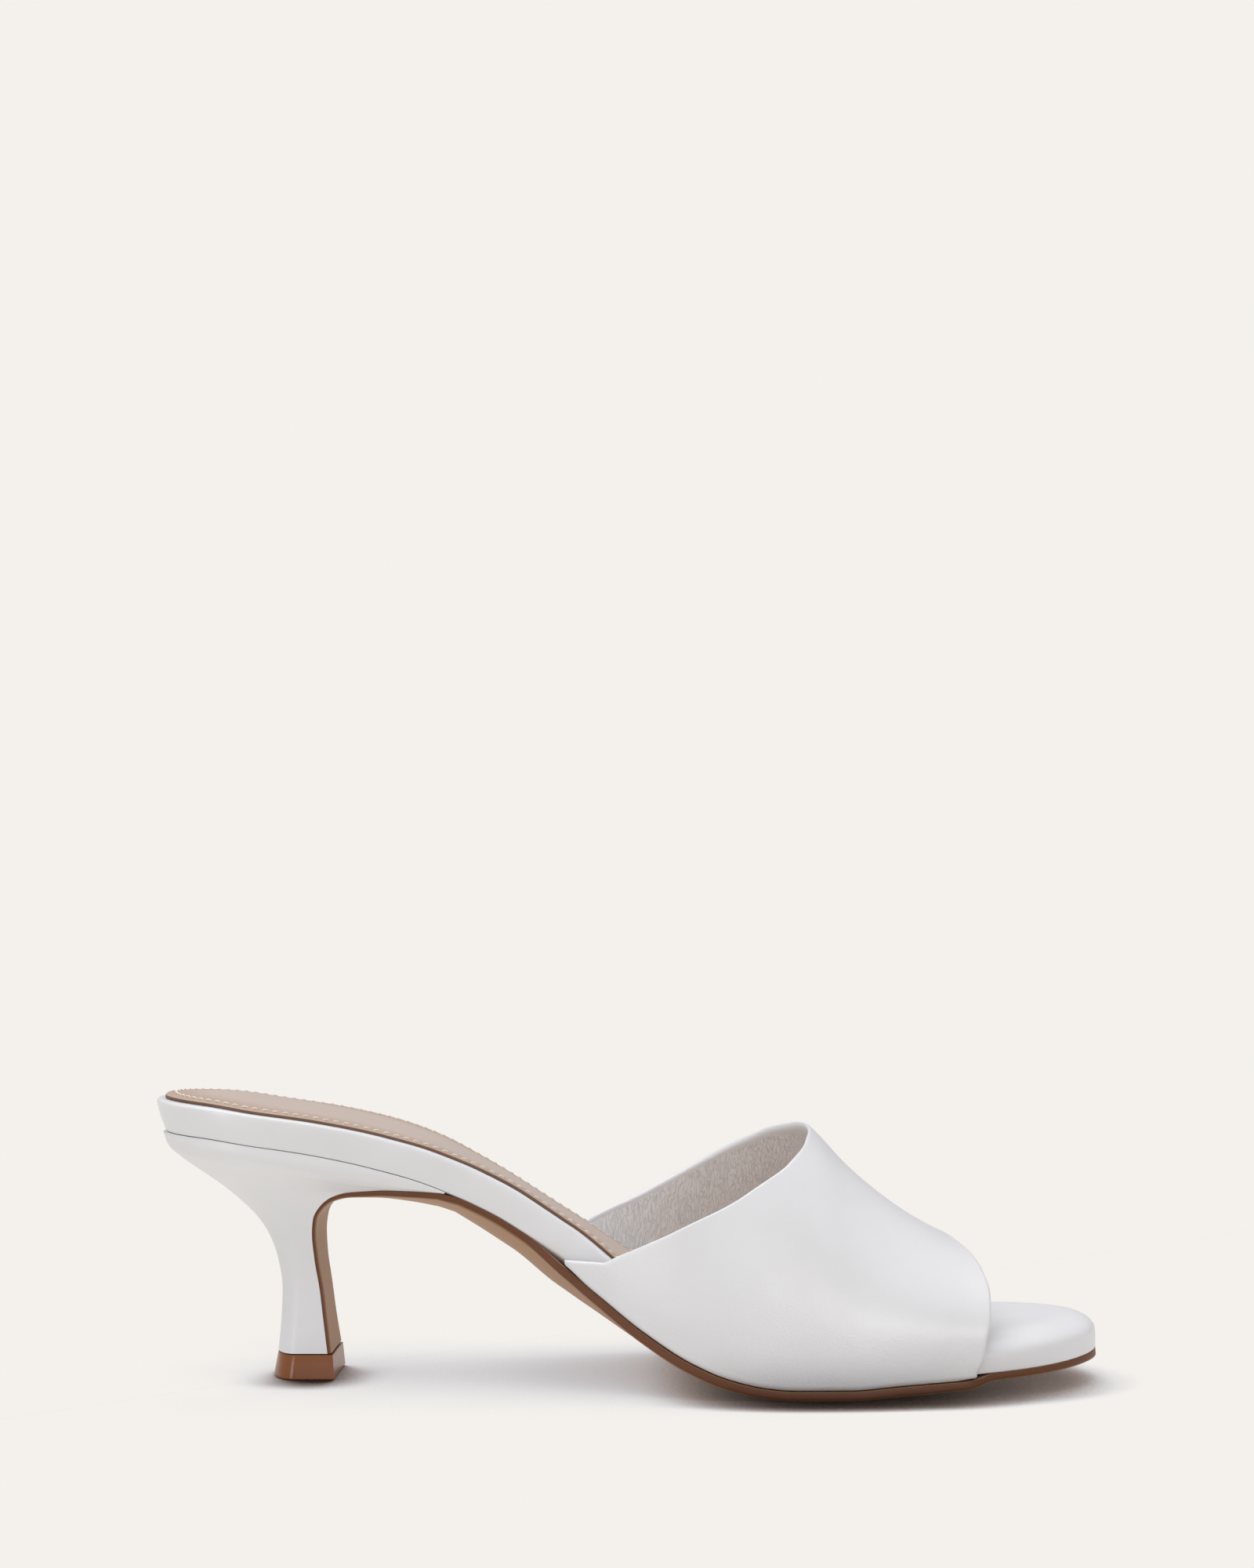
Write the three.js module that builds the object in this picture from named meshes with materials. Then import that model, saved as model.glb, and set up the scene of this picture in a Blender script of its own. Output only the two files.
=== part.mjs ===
// An open-toe mule on a flared kitten heel, for the left foot. Lengths are in millimetres.
// x runs from the back of the heel seat to the toe, y from the inner side of the foot to the outer side
// and z up from the floor. The finished group is moved so that its origin is under the heel tip.

import * as THREE from "three";
import { mergeVertices } from "three/addons/utils/BufferGeometryUtils.js";

// Driving sizes of the last
const length = 230; // back of the heel seat to the tip of the toe
const ballWidth = 72; // across the footbed at the ball
const heelHeight = 60; // floor to the underside of the footbed, at its back
const throatHeight = 60; // floor to the top of the vamp, at its throat
const toeSpring = 4.2; // rise of the footbed from the ball to the tip of the toe
const archLift = 5; // how far the inner edge of the waist curls up
const outerLift = 1.5; // how far the outer edge of the waist curls up
const seatRound = 24; // length over which the heel seat is rounded off
const toeRound = 36; // length over which the toe is rounded off
const ridgeOffset = -4; // the ridge of the instep lies this far towards the inner side

// Footbed
const footbedThick = 8.1;
const toeTuck = 0.4; // its underside ends this far behind the tip of the toe
const rimLean = 1.2; // the rim leans out this far from its bottom to its top
const backLean = 2.8; // the same at the back of the seat
const rimSwell = 0.3; // and it swells this far half way up
const rimRadius = 1; // rounding of the rim's top edge
const toeRadius = 4.2; // rounding of the same edge round the open toe

// Sock
const sockThick = 0.9;
const sockPad = 1.1; // extra height of the padding along its middle
const sockInset = 2.2; // from the widest line of the rim to the sock's cut edge
const sockEnd = 8; // length of the rounding at its hidden front end
const sockFront = 0.74; // that end's place, as a share of the length

// Upper
const vampWall = 1.6; // leather and lining together
const marginThick = 0.7; // the same, skived, where it is lasted under the footbed
const marginWidth = 9; // how far it reaches under the footbed
const featherRadius = 1.4; // bend from the wall into the lasted margin
const bellyHeight = 9; // the wall is widest this far above the outsole
const bellyAngle = 12 * (Math.PI / 180); // the wall leans in this much below its widest line
const fullness = 2.15; // 2 makes the sections of the vamp elliptical, more makes them squarer

// Outsole
const soleThick = 2.2;
const waistThick = 1.8; // behind the upper
const flapThick = 1; // the breast flap thins to this at the heel tip
const soleBevel = 0.4; // bevel along the bottom edge
const soleProud = 0.1; // the outsole stands out this far from the footbed's edge

// Heel
const seatProud = 0.3; // the heel stands out this far beyond the footbed's edge, at its back

// Heel tip
const tipHeight = 6;
const tipFlare = 1.1; // the tip grows by this on each side from its top to the floor
const tipFront = 0.5; // and by this at its front
const tipBevel = 0.5;

const gap = 0.3; // clearance between neighbouring pieces

const quarter = Math.PI / 2;
const lerp = (a, b, share) => a + (b - a) * share;
const smooth = (x, from, to) => THREE.MathUtils.smoothstep(x, Math.min(from, to), Math.max(from, to));

// A smooth curve through one column of a table, which never swings past its rows.
function through(rows, column, by = "along") {
  const at = rows.map((row) => row[by]);
  const value = rows.map((row) => row[column]);
  const last = rows.length - 1;
  const rise = value.slice(1).map((v, i) => (v - value[i]) / (at[i + 1] - at[i]));
  const slope = value.map((_, i) => {
    if (i === 0) return rise[0];
    if (i === last) return rise[last - 1];
    return rise[i - 1] * rise[i] <= 0 ? 0 : (2 * rise[i - 1] * rise[i]) / (rise[i - 1] + rise[i]);
  });
  return (x) => {
    if (x <= at[0]) return value[0] + slope[0] * (x - at[0]);
    if (x >= at[last]) return value[last] + slope[last] * (x - at[last]);
    const i = at.findIndex((edge) => x < edge) - 1;
    const step = at[i + 1] - at[i];
    const t = (x - at[i]) / step;
    return (
      value[i] * (1 + 2 * t) * (1 - t) ** 2 +
      value[i + 1] * t * t * (3 - 2 * t) +
      step * t * (1 - t) * (slope[i] * (1 - t) - slope[i + 1] * t)
    );
  };
}

// Underside of the footbed. along: share of the length. rise: share of the way from the ball up to
// the heel height. tip: share of the toe spring. inner, outer: half widths as shares of the ball
// width. lift: share of the arch lift at the edges. thick: share of the footbed's thickness.
// lean: share of the rim's lean. soft: 0 for the rim's small rounding, 1 for that of the toe.
const footRows = [
  { along: 0.0, rise: 1.0, tip: 0, inner: 0.325, outer: 0.325, lift: 0, thick: 1, lean: 1, soft: 0 },
  { along: 0.06, rise: 0.989, tip: 0, inner: 0.328, outer: 0.331, lift: 0, thick: 0.95, lean: 1, soft: 0 },
  { along: 0.12, rise: 0.957, tip: 0, inner: 0.331, outer: 0.336, lift: 0, thick: 0.92, lean: 1, soft: 0 },
  { along: 0.18, rise: 0.92, tip: 0, inner: 0.328, outer: 0.336, lift: 0, thick: 0.93, lean: 1, soft: 0 },
  { along: 0.24, rise: 0.861, tip: 0, inner: 0.314, outer: 0.331, lift: 0.05, thick: 0.95, lean: 1, soft: 0 },
  { along: 0.28, rise: 0.794, tip: 0, inner: 0.3, outer: 0.325, lift: 0.28, thick: 0.96, lean: 1, soft: 0 },
  { along: 0.32, rise: 0.697, tip: 0, inner: 0.286, outer: 0.322, lift: 0.63, thick: 0.96, lean: 1, soft: 0 },
  { along: 0.37, rise: 0.57, tip: 0, inner: 0.281, outer: 0.328, lift: 0.87, thick: 0.93, lean: 0.8, soft: 0 },
  { along: 0.42, rise: 0.443, tip: 0, inner: 0.3, outer: 0.35, lift: 0.86, thick: 0.9, lean: 0.1, soft: 0 },
  { along: 0.47, rise: 0.311, tip: 0, inner: 0.347, outer: 0.392, lift: 0.64, thick: 0.9, lean: -0.4, soft: 0 },
  { along: 0.52, rise: 0.189, tip: 0, inner: 0.411, outer: 0.439, lift: 0.36, thick: 0.92, lean: -0.5, soft: 0.1 },
  { along: 0.57, rise: 0.09, tip: 0, inner: 0.464, outer: 0.481, lift: 0.14, thick: 0.95, lean: -0.5, soft: 0.2 },
  { along: 0.61, rise: 0.036, tip: 0, inner: 0.489, outer: 0.499, lift: 0.04, thick: 0.97, lean: -0.5, soft: 0.4 },
  { along: 0.65, rise: 0.007, tip: 0, inner: 0.5, outer: 0.5, lift: 0, thick: 1, lean: -0.5, soft: 0.5 },
  { along: 0.675, rise: 0, tip: 0, inner: 0.5, outer: 0.494, lift: 0, thick: 1, lean: -0.5, soft: 0.6 },
  { along: 0.73, rise: 0, tip: 0, inner: 0.492, outer: 0.476, lift: 0, thick: 1, lean: -0.5, soft: 0.7 },
  { along: 0.78, rise: 0, tip: 0.2, inner: 0.475, outer: 0.457, lift: 0, thick: 1.03, lean: -0.5, soft: 0.9 },
  { along: 0.87, rise: 0, tip: 0.5, inner: 0.433, outer: 0.433, lift: 0, thick: 1.08, lean: -0.2, soft: 1 },
  { along: 0.94, rise: 0, tip: 0.73, inner: 0.41, outer: 0.424, lift: 0, thick: 1.1, lean: 0, soft: 1 },
  { along: 1.0, rise: 0, tip: 1, inner: 0.389, outer: 0.412, lift: 0, thick: 1.1, lean: 0, soft: 1 },
];

// Padding of the sock. along: share of the length. pad: share of the padding's height.
const padRows = [
  { along: 0.0, pad: 1 },
  { along: 0.08, pad: 1 },
  { along: 0.16, pad: 0.5 },
  { along: 0.24, pad: 0.1 },
  { along: 0.74, pad: 0.1 },
];

// Ridge of the vamp. along: share of the length. height: share of the throat height. Behind the
// throat the ridge is the last's own instep, which only the sides of the vamp reach.
const ridgeRows = [
  { along: 0.4, height: 1.667 },
  { along: 0.5, height: 1.508 },
  { along: 0.56, height: 1.383 },
  { along: 0.61, height: 1.267 },
  { along: 0.66, height: 1.133 },
  { along: 0.7, height: 1.003 },
  { along: 0.735, height: 0.86 },
  { along: 0.77, height: 0.745 },
  { along: 0.805, height: 0.653 },
  { along: 0.84, height: 0.583 },
  { along: 0.88, height: 0.53 },
  { along: 0.92, height: 0.49 },
];

// Edges of the vamp, as shares of the length. turn: degrees round the section, from the inner
// feather line over the ridge to the outer one. rear: the topline. front: the edge at the open toe.
const edgeRows = [
  { turn: 0, rear: 0.439, front: 0.861 },
  { turn: 10, rear: 0.484, front: 0.868 },
  { turn: 25, rear: 0.553, front: 0.873 },
  { turn: 40, rear: 0.624, front: 0.874 },
  { turn: 55, rear: 0.669, front: 0.87 },
  { turn: 70, rear: 0.688, front: 0.863 },
  { turn: 85, rear: 0.692, front: 0.85 },
  { turn: 95, rear: 0.691, front: 0.843 },
  { turn: 110, rear: 0.679, front: 0.839 },
  { turn: 125, rear: 0.647, front: 0.837 },
  { turn: 140, rear: 0.594, front: 0.835 },
  { turn: 155, rear: 0.524, front: 0.83 },
  { turn: 168, rear: 0.456, front: 0.826 },
  { turn: 180, rear: 0.402, front: 0.822 },
];

// Sections of the heel, one below the other from the seat down to the tip. frontX, backX: shares of
// the length. frontZ, backZ: shares of the way from the top of the tip to the heel height. cup: share
// of the edges' full lift by which the breast's edges curl. breast, widest: half widths as shares of the ball
// width. round: share of the section, from its back, that is rounded off.
const heelRows = [
  { frontX: 0.309, frontZ: 0.692, backX: 0.007, backZ: 1.0, cup: 0.6, breast: 0.29, widest: 0.33, round: 0.35 },
  { frontX: 0.278, frontZ: 0.716, backX: 0.012, backZ: 0.94, cup: 0.4, breast: 0.275, widest: 0.305, round: 0.36 },
  { frontX: 0.243, frontZ: 0.73, backX: 0.026, backZ: 0.883, cup: 0.22, breast: 0.24, widest: 0.27, round: 0.38 },
  { frontX: 0.215, frontZ: 0.727, backX: 0.046, backZ: 0.822, cup: 0.12, breast: 0.208, widest: 0.235, round: 0.42 },
  { frontX: 0.195, frontZ: 0.708, backX: 0.068, backZ: 0.756, cup: 0.08, breast: 0.188, widest: 0.208, round: 0.48 },
  { frontX: 0.181, frontZ: 0.665, backX: 0.089, backZ: 0.683, cup: 0.05, breast: 0.174, widest: 0.186, round: 0.54 },
  { frontX: 0.173, frontZ: 0.607, backX: 0.108, backZ: 0.602, cup: 0.02, breast: 0.161, widest: 0.166, round: 0.6 },
  { frontX: 0.171, frontZ: 0.53, backX: 0.121, backZ: 0.515, cup: 0, breast: 0.147, widest: 0.15, round: 0.62 },
  { frontX: 0.173, frontZ: 0.42, backX: 0.13, backZ: 0.4, cup: 0, breast: 0.129, widest: 0.131, round: 0.6 },
  { frontX: 0.178, frontZ: 0.285, backX: 0.134, backZ: 0.275, cup: 0, breast: 0.119, widest: 0.12, round: 0.54 },
  { frontX: 0.182, frontZ: 0.15, backX: 0.133, backZ: 0.145, cup: 0, breast: 0.124, widest: 0.125, round: 0.46 },
  { frontX: 0.187, frontZ: 0, backX: 0.13, backZ: 0, cup: 0, breast: 0.14, widest: 0.141, round: 0.4 },
];

const ballDrop = soleThick + marginThick + 2 * gap; // floor to the underside of the footbed at the ball

const foot = Object.fromEntries(
  ["rise", "tip", "inner", "outer", "lift", "thick", "lean", "soft"].map((name) => [name, through(footRows, name)]),
);
const share = (column, x) => foot[column](x / length);
const ridgeShare = through(ridgeRows, "height");
const ridge = (x) => throatHeight * ridgeShare(x / length);
const rearShare = through(edgeRows, "rear", "turn");
const frontShare = through(edgeRows, "front", "turn");
const fullTurn = 180;
const toplineX = (turn) => length * rearShare(turn);
const toeEdgeX = (turn) => length * frontShare(turn);

// Height of the underside's middle line, and the direction square to it in side view.
const bed = (x) => lerp(ballDrop, heelHeight, share("rise", x)) + toeSpring * share("tip", x);
function squareTo(height, x) {
  const step = 0.5;
  const slope = (height(x + step) - height(x - step)) / (2 * step);
  const size = Math.hypot(slope, 1);
  return { x: -slope / size, z: 1 / size };
}

const innerHalf = (x) => ballWidth * share("inner", x);
const outerHalf = (x) => ballWidth * share("outer", x);
const halfAt = (x, side) => (side < 0 ? innerHalf(x) : outerHalf(x));
const thickness = (x) => footbedThick * share("thick", x);
const edgeRadius = (x) => lerp(rimRadius, toeRadius, share("soft", x));

// Curl of the underside at a place across it, from -1 at the inner edge to 1 at the outer edge. The
// middle stays flat, as a shank does.
const flatMiddle = 0.3;
function curl(across) {
  const out = Math.max(0, (Math.abs(across) - flatMiddle) / (1 - flatMiddle));
  return out * out;
}
const fullLift = (side) => (side < 0 ? archLift : outerLift);
const edgeLift = (x, side) => fullLift(side) * share("lift", x);
const reachOf = (x, y) => THREE.MathUtils.clamp(y / halfAt(x, y), -1, 1);
const underLift = (x, y) => edgeLift(x, y) * curl(reachOf(x, y));
// The top of the footbed is straight across, from one lifted edge to the other.
const topLift = (x, y) => lerp(edgeLift(x, -1), edgeLift(x, 1), (1 + reachOf(x, y)) / 2);

// A point `level` above the underside of the footbed, square to it in side view, at the place (x, y).
function raised(x, y, level, lift = underLift) {
  const square = squareTo(bed, x);
  const rise = level + lift(x, y);
  return new THREE.Vector3(x + square.x * rise, y, bed(x) + square.z * rise);
}

// Ends of the underside in side view.
const backSquare = squareTo(bed, 0);
const bedBack = backLean - footbedThick * backSquare.x;
const bedFront = length - toeTuck;

// Stations along an outline: the round heel seat, the long middle and the round toe.
const toeFullness = 2.1; // 2 makes the toe an ellipse, more makes it squarer
function stations(seatSteps, middleSteps, toeSteps) {
  const seat = Array.from({ length: seatSteps }, (_, i) => ({ zone: "seat", turn: (i / seatSteps) * quarter }));
  const middle = Array.from({ length: middleSteps }, (_, i) => ({ zone: "middle", share: i / middleSteps }));
  const toe = Array.from({ length: toeSteps + 1 }, (_, i) => ({ zone: "toe", turn: (1 - i / toeSteps) * quarter }));
  return [...seat, ...middle, ...toe];
}

// Where a station lies between two ends, and how much of the full width is left there.
function place(station, back, front, toeLength = toeRound) {
  const power = 2 / toeFullness;
  if (station.zone === "seat") {
    return { x: back + seatRound * (1 - Math.cos(station.turn)), keep: Math.sin(station.turn) };
  }
  if (station.zone === "toe") {
    const keep = Math.sin(station.turn) ** power;
    return { x: front - toeLength * (1 - Math.cos(station.turn) ** power), keep };
  }
  return { x: lerp(back + seatRound, front - toeLength, station.share), keep: 1 };
}

// Faces between loops of equal length, with both ends closed by folding the loop onto itself. A loop
// that is drawn in to a line or a point closes by itself, because its points are merged.
function skin(loops) {
  const count = loops[0].length;
  const positions = loops.flat().flatMap((p) => [p.x, p.y, p.z]);
  const faces = [];
  for (let i = 0; i + 1 < loops.length; i += 1) {
    for (let j = 0; j < count; j += 1) {
      const a = i * count + j;
      const b = i * count + ((j + 1) % count);
      faces.push([a, b, b + count], [a, b + count, a + count]);
    }
  }
  const fold = (start, turned) => {
    for (let j = 0; j + 1 < count - 1 - j; j += 1) {
      const [a, b, c, d] = [j, j + 1, count - 2 - j, count - 1 - j].map((k) => start + k);
      faces.push(...(turned ? [[a, c, b], [a, d, c]] : [[a, b, c], [a, c, d]]));
    }
  };
  fold(0, true);
  fold((loops.length - 1) * count, false);
  return { positions, faces };
}

// A closed mesh: equal points merged, collapsed faces dropped and all faces turned outwards.
function solid(name, { positions, faces }, material) {
  const raw = new THREE.BufferGeometry();
  raw.setAttribute("position", new THREE.Float32BufferAttribute(positions, 3));
  raw.setIndex(faces.flat());
  const merged = mergeVertices(raw, 0.002);
  const index = merged.getIndex().array;
  const p = merged.getAttribute("position");
  const corner = (i) => new THREE.Vector3().fromBufferAttribute(p, i);
  const kept = [];
  let volume = 0;
  for (let i = 0; i < index.length; i += 3) {
    const [a, b, c] = [index[i], index[i + 1], index[i + 2]];
    if (a === b || b === c || c === a) continue;
    kept.push([a, b, c]);
    volume += corner(a).dot(corner(b).cross(corner(c)));
  }
  const outward = volume > 0 ? kept : kept.map(([a, b, c]) => [a, c, b]);
  merged.setIndex(outward.flat());
  merged.computeVertexNormals();
  const mesh = new THREE.Mesh(merged, material);
  mesh.name = name;
  return mesh;
}

// Places across a piece, from its inner edge to its outer edge.
const acrossSteps = 10;
const rows = Array.from({ length: acrossSteps + 1 }, (_, i) => -1 + (2 * i) / acrossSteps);

// The rim's profile from the flat top to the bottom: level above the underside and lean outwards.
const rimTurns = [1, 0.66, 0.33, 0];
function rimProfile(x) {
  const radius = edgeRadius(x);
  const top = rimTurns.map((t) => ({
    level: thickness(x) - radius * (1 - Math.sin(t * quarter)),
    pull: radius * (1 - Math.cos(t * quarter)),
  }));
  return [...top, { level: thickness(x) / 2, pull: -rimSwell }, { level: 0, pull: 0 }];
}

function footbed(material) {
  const loops = stations(7, 24, 9).map((station) => {
    const guess = place(station, bedBack, bedFront).x;
    const rings = rimProfile(guess).map(({ level, pull }) => {
      const up = level / thickness(guess);
      const { x, keep } = place(station, bedBack - backLean * up + pull, bedFront - pull);
      const half = (side) => (halfAt(x, side) + rimLean * share("lean", x) * up - pull) * keep;
      const lift = (atX, y) => lerp(underLift(atX, y), topLift(atX, y), up);
      return (across) => raised(x, across * half(across), level, lift);
    });
    const [top, ...walls] = rings;
    const bottom = walls.pop();
    const under = rows.map(bottom);
    const middle = (rows.length - 1) / 2;
    return [
      ...under.slice(0, middle + 1).reverse(),
      ...walls.map((ring) => ring(-1)).reverse(),
      ...rows.map(top),
      ...walls.map((ring) => ring(1)),
      ...under.slice(middle).reverse(),
    ];
  });
  return solid("footbed", skin(loops), material);
}

// The padded sock lies on the footbed, inside its rim, and ends hidden under the vamp.
const padShare = through(padRows, "pad");
function sock(material) {
  const loops = stations(6, 20, 3).map((station) => {
    const back = bedBack - backLean + sockInset;
    const { x, keep } = place(station, back, sockFront * length, sockEnd);
    const half = (side) => (halfAt(x, side) + rimLean * share("lean", x) - sockInset) * keep;
    const bottom = thickness(x) + gap;
    const pad = (across) => sockPad * padShare(x / length) * (1 - across * across) * keep;
    const top = rows.map((across) => raised(x, across * half(across), bottom + sockThick + pad(across), topLift));
    const under = rows.map((across) => raised(x, across * half(across), bottom, topLift));
    return [...top, ...under.reverse()];
  });
  return solid("sock", skin(loops), material);
}

// How much of the lasted margin lies between footbed and outsole at a place. It fades out behind the
// topline and ahead of the edge at the open toe.
function marginAt(x, across) {
  const side = (turn) => {
    const behind = toplineX(turn) - 3.5;
    const ahead = toeEdgeX(turn) + 0.5;
    return smooth(x, behind - 7, behind) * (1 - smooth(x, ahead, ahead + 4.5));
  };
  return lerp(side(0), side(fullTurn), smooth(across, -flatMiddle, flatMiddle));
}

// Height of a point `up` above the bottom of the upper, which rests on the outsole.
const feather = (x, y, up = 0) => bed(x) + (underLift(x, y) - gap - marginThick + up) / squareTo(bed, x).z;

// A point on the wall of the vamp. turn runs in degrees round the section, inset goes inwards.
function vampPoint(x, turn, inset) {
  const side = turn < fullTurn / 2 ? -1 : 1;
  const square = squareTo(ridge, x);
  const bottom = feather(x, side * ballWidth, featherRadius);
  const waistLine = bottom + bellyHeight - featherRadius;
  const angle = lerp(-bellyAngle, Math.PI + bellyAngle, turn / fullTurn);
  const foot = halfAt(x, side) + gap + vampWall - inset;
  const half = foot / Math.cos(bellyAngle) - side * ridgeOffset;
  const power = 2 / fullness;
  const y = side * half * Math.abs(Math.cos(angle)) ** power + ridgeOffset;
  if (Math.sin(angle) < 0) {
    const down = Math.sin(angle) / Math.sin(bellyAngle);
    return new THREE.Vector3(x, y, waistLine + (waistLine - bottom) * down);
  }
  const top = ridge(x) - inset / square.z;
  return new THREE.Vector3(x, y, waistLine + (top - waistLine) * Math.sin(angle) ** power);
}

// A point on the lasted margin. bend: 0 where the wall ends, 1 where it lies flat under the footbed.
function marginPoint(x, side, bend, reach, inner) {
  const wall = vampPoint(x, side < 0 ? 0 : fullTurn, inner ? vampWall : 0);
  const thick = inner ? marginThick : 0;
  const wide = featherRadius - (inner ? vampWall : 0);
  const tall = featherRadius - thick;
  const y = wall.y - side * (wide * (1 - Math.cos(bend * quarter)) + reach);
  return new THREE.Vector3(x, y, feather(x, y, thick + tall * (1 - Math.sin(bend * quarter))));
}

function upper(material) {
  const turns = Array.from({ length: 25 }, (_, i) => (i / 24) * fullTurn);
  const bends = [0.4, 0.7, 1];
  const rowCount = 18;
  const reach = marginWidth - featherRadius;
  const half = (row, inner) => {
    const at = (turn) => lerp(toplineX(turn), toeEdgeX(turn), row);
    const edge = (side) => {
      const x = at(side < 0 ? 0 : fullTurn);
      return [
        ...bends.map((bend) => marginPoint(x, side, bend, 0, inner)),
        ...[0.5, 1].map((far) => marginPoint(x, side, 1, reach * far, inner)),
      ];
    };
    const wall = turns.map((turn) => vampPoint(at(turn), turn, inner ? vampWall : 0));
    return [...edge(-1).reverse(), ...wall, ...edge(1)];
  };
  const loops = Array.from({ length: rowCount + 1 }, (_, i) => {
    const row = i / rowCount;
    return [...half(row, false), ...half(row, true).reverse()];
  });
  return solid("upper", skin(loops), material);
}

// Heel sections by their place in the loft.
const heelRings = heelRows.map((row, ring) => ({ ...row, ring }));
const heelPart = Object.fromEntries(
  Object.keys(heelRows[0]).map((name) => [name, through(heelRings, name, "ring")]),
);
const heelFoot = tipHeight + gap;
const heelEnd = heelRows.length - 1;
const heelZ = (rise) => lerp(heelFoot, heelHeight, rise);
function heelSection(ring) {
  const value = (name) => heelPart[name](ring);
  return {
    front: { x: length * value("frontX"), z: heelZ(value("frontZ")) },
    back: { x: length * value("backX"), z: heelZ(value("backZ")) },
    breast: ballWidth * value("breast"),
    widest: ballWidth * value("widest"),
    round: value("round"),
    cup: value("cup"),
  };
}

// Half width of a heel section at a share of the way from its breast to its back.
function heelHalf(section, u) {
  const swell = lerp(section.breast, section.widest, smooth(u, 0, 0.5));
  const cap = Math.max(0, (u - (1 - section.round)) / section.round);
  return swell * Math.sqrt(Math.max(0, 1 - cap * cap));
}

// Shares of the way from breast to back, closer together round the back.
const heelSteps = 13;
const heelShares = Array.from({ length: heelSteps + 1 }, (_, i) => Math.sin((i / heelSteps) * quarter) ** 1.1);

// The heel's seat: the underside of the footbed, drawn in towards its middle line to close the top.
function seatLoop(drawnIn) {
  const { front } = heelSection(0);
  const back = bedBack - seatProud;
  const point = (u, side) => {
    const x = lerp(front.x, back, u);
    const end = THREE.MathUtils.clamp((x - back) / seatRound, 0, 1);
    const half = (halfAt(x, side) + seatProud / 2) * Math.sqrt(1 - (1 - end) ** 2);
    return raised(x, side * half * drawnIn, -gap);
  };
  const breast = rows.slice(1, -1).map((across) => raised(front.x, across * halfAt(front.x, across) * drawnIn, -gap));
  return [...heelShares.map((u) => point(u, -1)).reverse(), ...breast, ...heelShares.map((u) => point(u, 1))];
}

// One loop of the heel below the seat, starting and ending at the middle of its back.
function heelLoop(ring) {
  const section = heelSection(ring);
  const normal = breastNormal(ring);
  const point = (u, side, half) => {
    const curled = section.cup * fullLift(side) * curl(side) * (1 - u) ** 2;
    return new THREE.Vector3(
      lerp(section.front.x, section.back.x, u) + normal.x * curled,
      half,
      lerp(section.front.z, section.back.z, u) + normal.z * curled,
    );
  };
  const edge = (u, side) => point(u, side, side * heelHalf(section, u));
  const breast = rows.slice(1, -1).map((across) => point(0, across, across * section.breast));
  return [...heelShares.map((u) => edge(u, -1)).reverse(), ...breast, ...heelShares.map((u) => edge(u, 1))];
}

// Direction out of the breast into the heel, square to the breast line in side view.
function breastNormal(ring) {
  const step = 0.2;
  const a = heelSection(Math.max(0, ring - step)).front;
  const b = heelSection(Math.min(heelEnd, ring + step)).front;
  const size = Math.hypot(b.x - a.x, b.z - a.z);
  return { x: (b.z - a.z) / size, z: -(b.x - a.x) / size };
}

function heel(material) {
  const seat = [0, 0.2, 0.4, 0.6, 0.8, 1].map(seatLoop);
  const rings = Array.from({ length: 2 * heelEnd }, (_, i) => heelLoop((i + 1) / 2));
  return solid("heel", skin([...seat, ...rings]), material);
}

// The outsole's bed: under the footbed from the toe to the heel's wedge, then down the breast.
const soleJoin = 0.325 * length; // the outsole leaves the footbed for the heel here
function soleStations() {
  const list = stations(0, 30, 11)
    .reverse()
    .map((station) => ({ ...place(station, soleJoin - seatRound, bedFront), ring: null }));
  const rings = Array.from({ length: 2 * heelEnd }, (_, i) => ({ ring: (i + 1) / 2, keep: 1 }));
  return [...list, ...rings];
}

function soleLoop({ x, keep, ring }) {
  if (ring === null) {
    const half = (side) => (halfAt(x, side) + lerp(soleProud, gap + vampWall, marginAt(x, side))) * keep;
    const point = (across, down, pull) => {
      const y = across * Math.max(0, half(across) - pull * Math.min(1, 2 * keep));
      return raised(x, y, -gap - (marginThick + gap) * marginAt(x, across) - down);
    };
    return soleSection(point, lerp(waistThick, soleThick, marginAt(x, 0)));
  }
  const section = heelSection(ring);
  const normal = breastNormal(ring);
  const thick = lerp(waistThick, flapThick, smooth(ring, 0, heelEnd / 2));
  const point = (across, down, pull) => {
    const rise = section.cup * fullLift(across) * curl(across) - gap - down;
    return new THREE.Vector3(
      section.front.x + normal.x * rise,
      across * (section.breast - pull),
      section.front.z + normal.z * rise,
    );
  };
  return soleSection(point, thick);
}

function soleSection(point, thick) {
  const edges = [-1, 1].map((side) => point(side, thick - soleBevel, 0));
  return [
    edges[0],
    ...rows.map((side) => point(side, 0, 0)),
    edges[1],
    edges[1],
    ...rows.map((side) => point(side, thick, soleBevel)).reverse(),
    edges[0],
  ];
}

function outsole(material) {
  return solid("outsole", skin(soleStations().map(soleLoop)), material);
}

// The heel tip repeats the heel's lowest section, with room for the flap, and flares to the floor.
function tipLoop(z, grown) {
  const section = heelSection(heelEnd);
  const front = section.front.x + gap + flapThick + tipFront * grown;
  const back = section.back.x - tipFlare * grown;
  const point = (u, side) => {
    const half = heelHalf(section, u) * (1 + (tipFlare * grown) / section.widest);
    return new THREE.Vector3(lerp(front, back, u), side * half, z);
  };
  return [...heelShares.map((u) => point(u, -1)).reverse(), ...heelShares.map((u) => point(u, 1))];
}

function topPiece(material) {
  const loops = [
    tipLoop(tipHeight, 0),
    tipLoop(tipBevel, 1 - tipBevel / tipHeight),
    tipLoop(0, 1 - tipBevel / tipFlare),
  ];
  return solid("top_piece", skin(loops), material);
}

const leather = (color, roughness) => new THREE.MeshStandardMaterial({ color, roughness, metalness: 0 });

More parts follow.
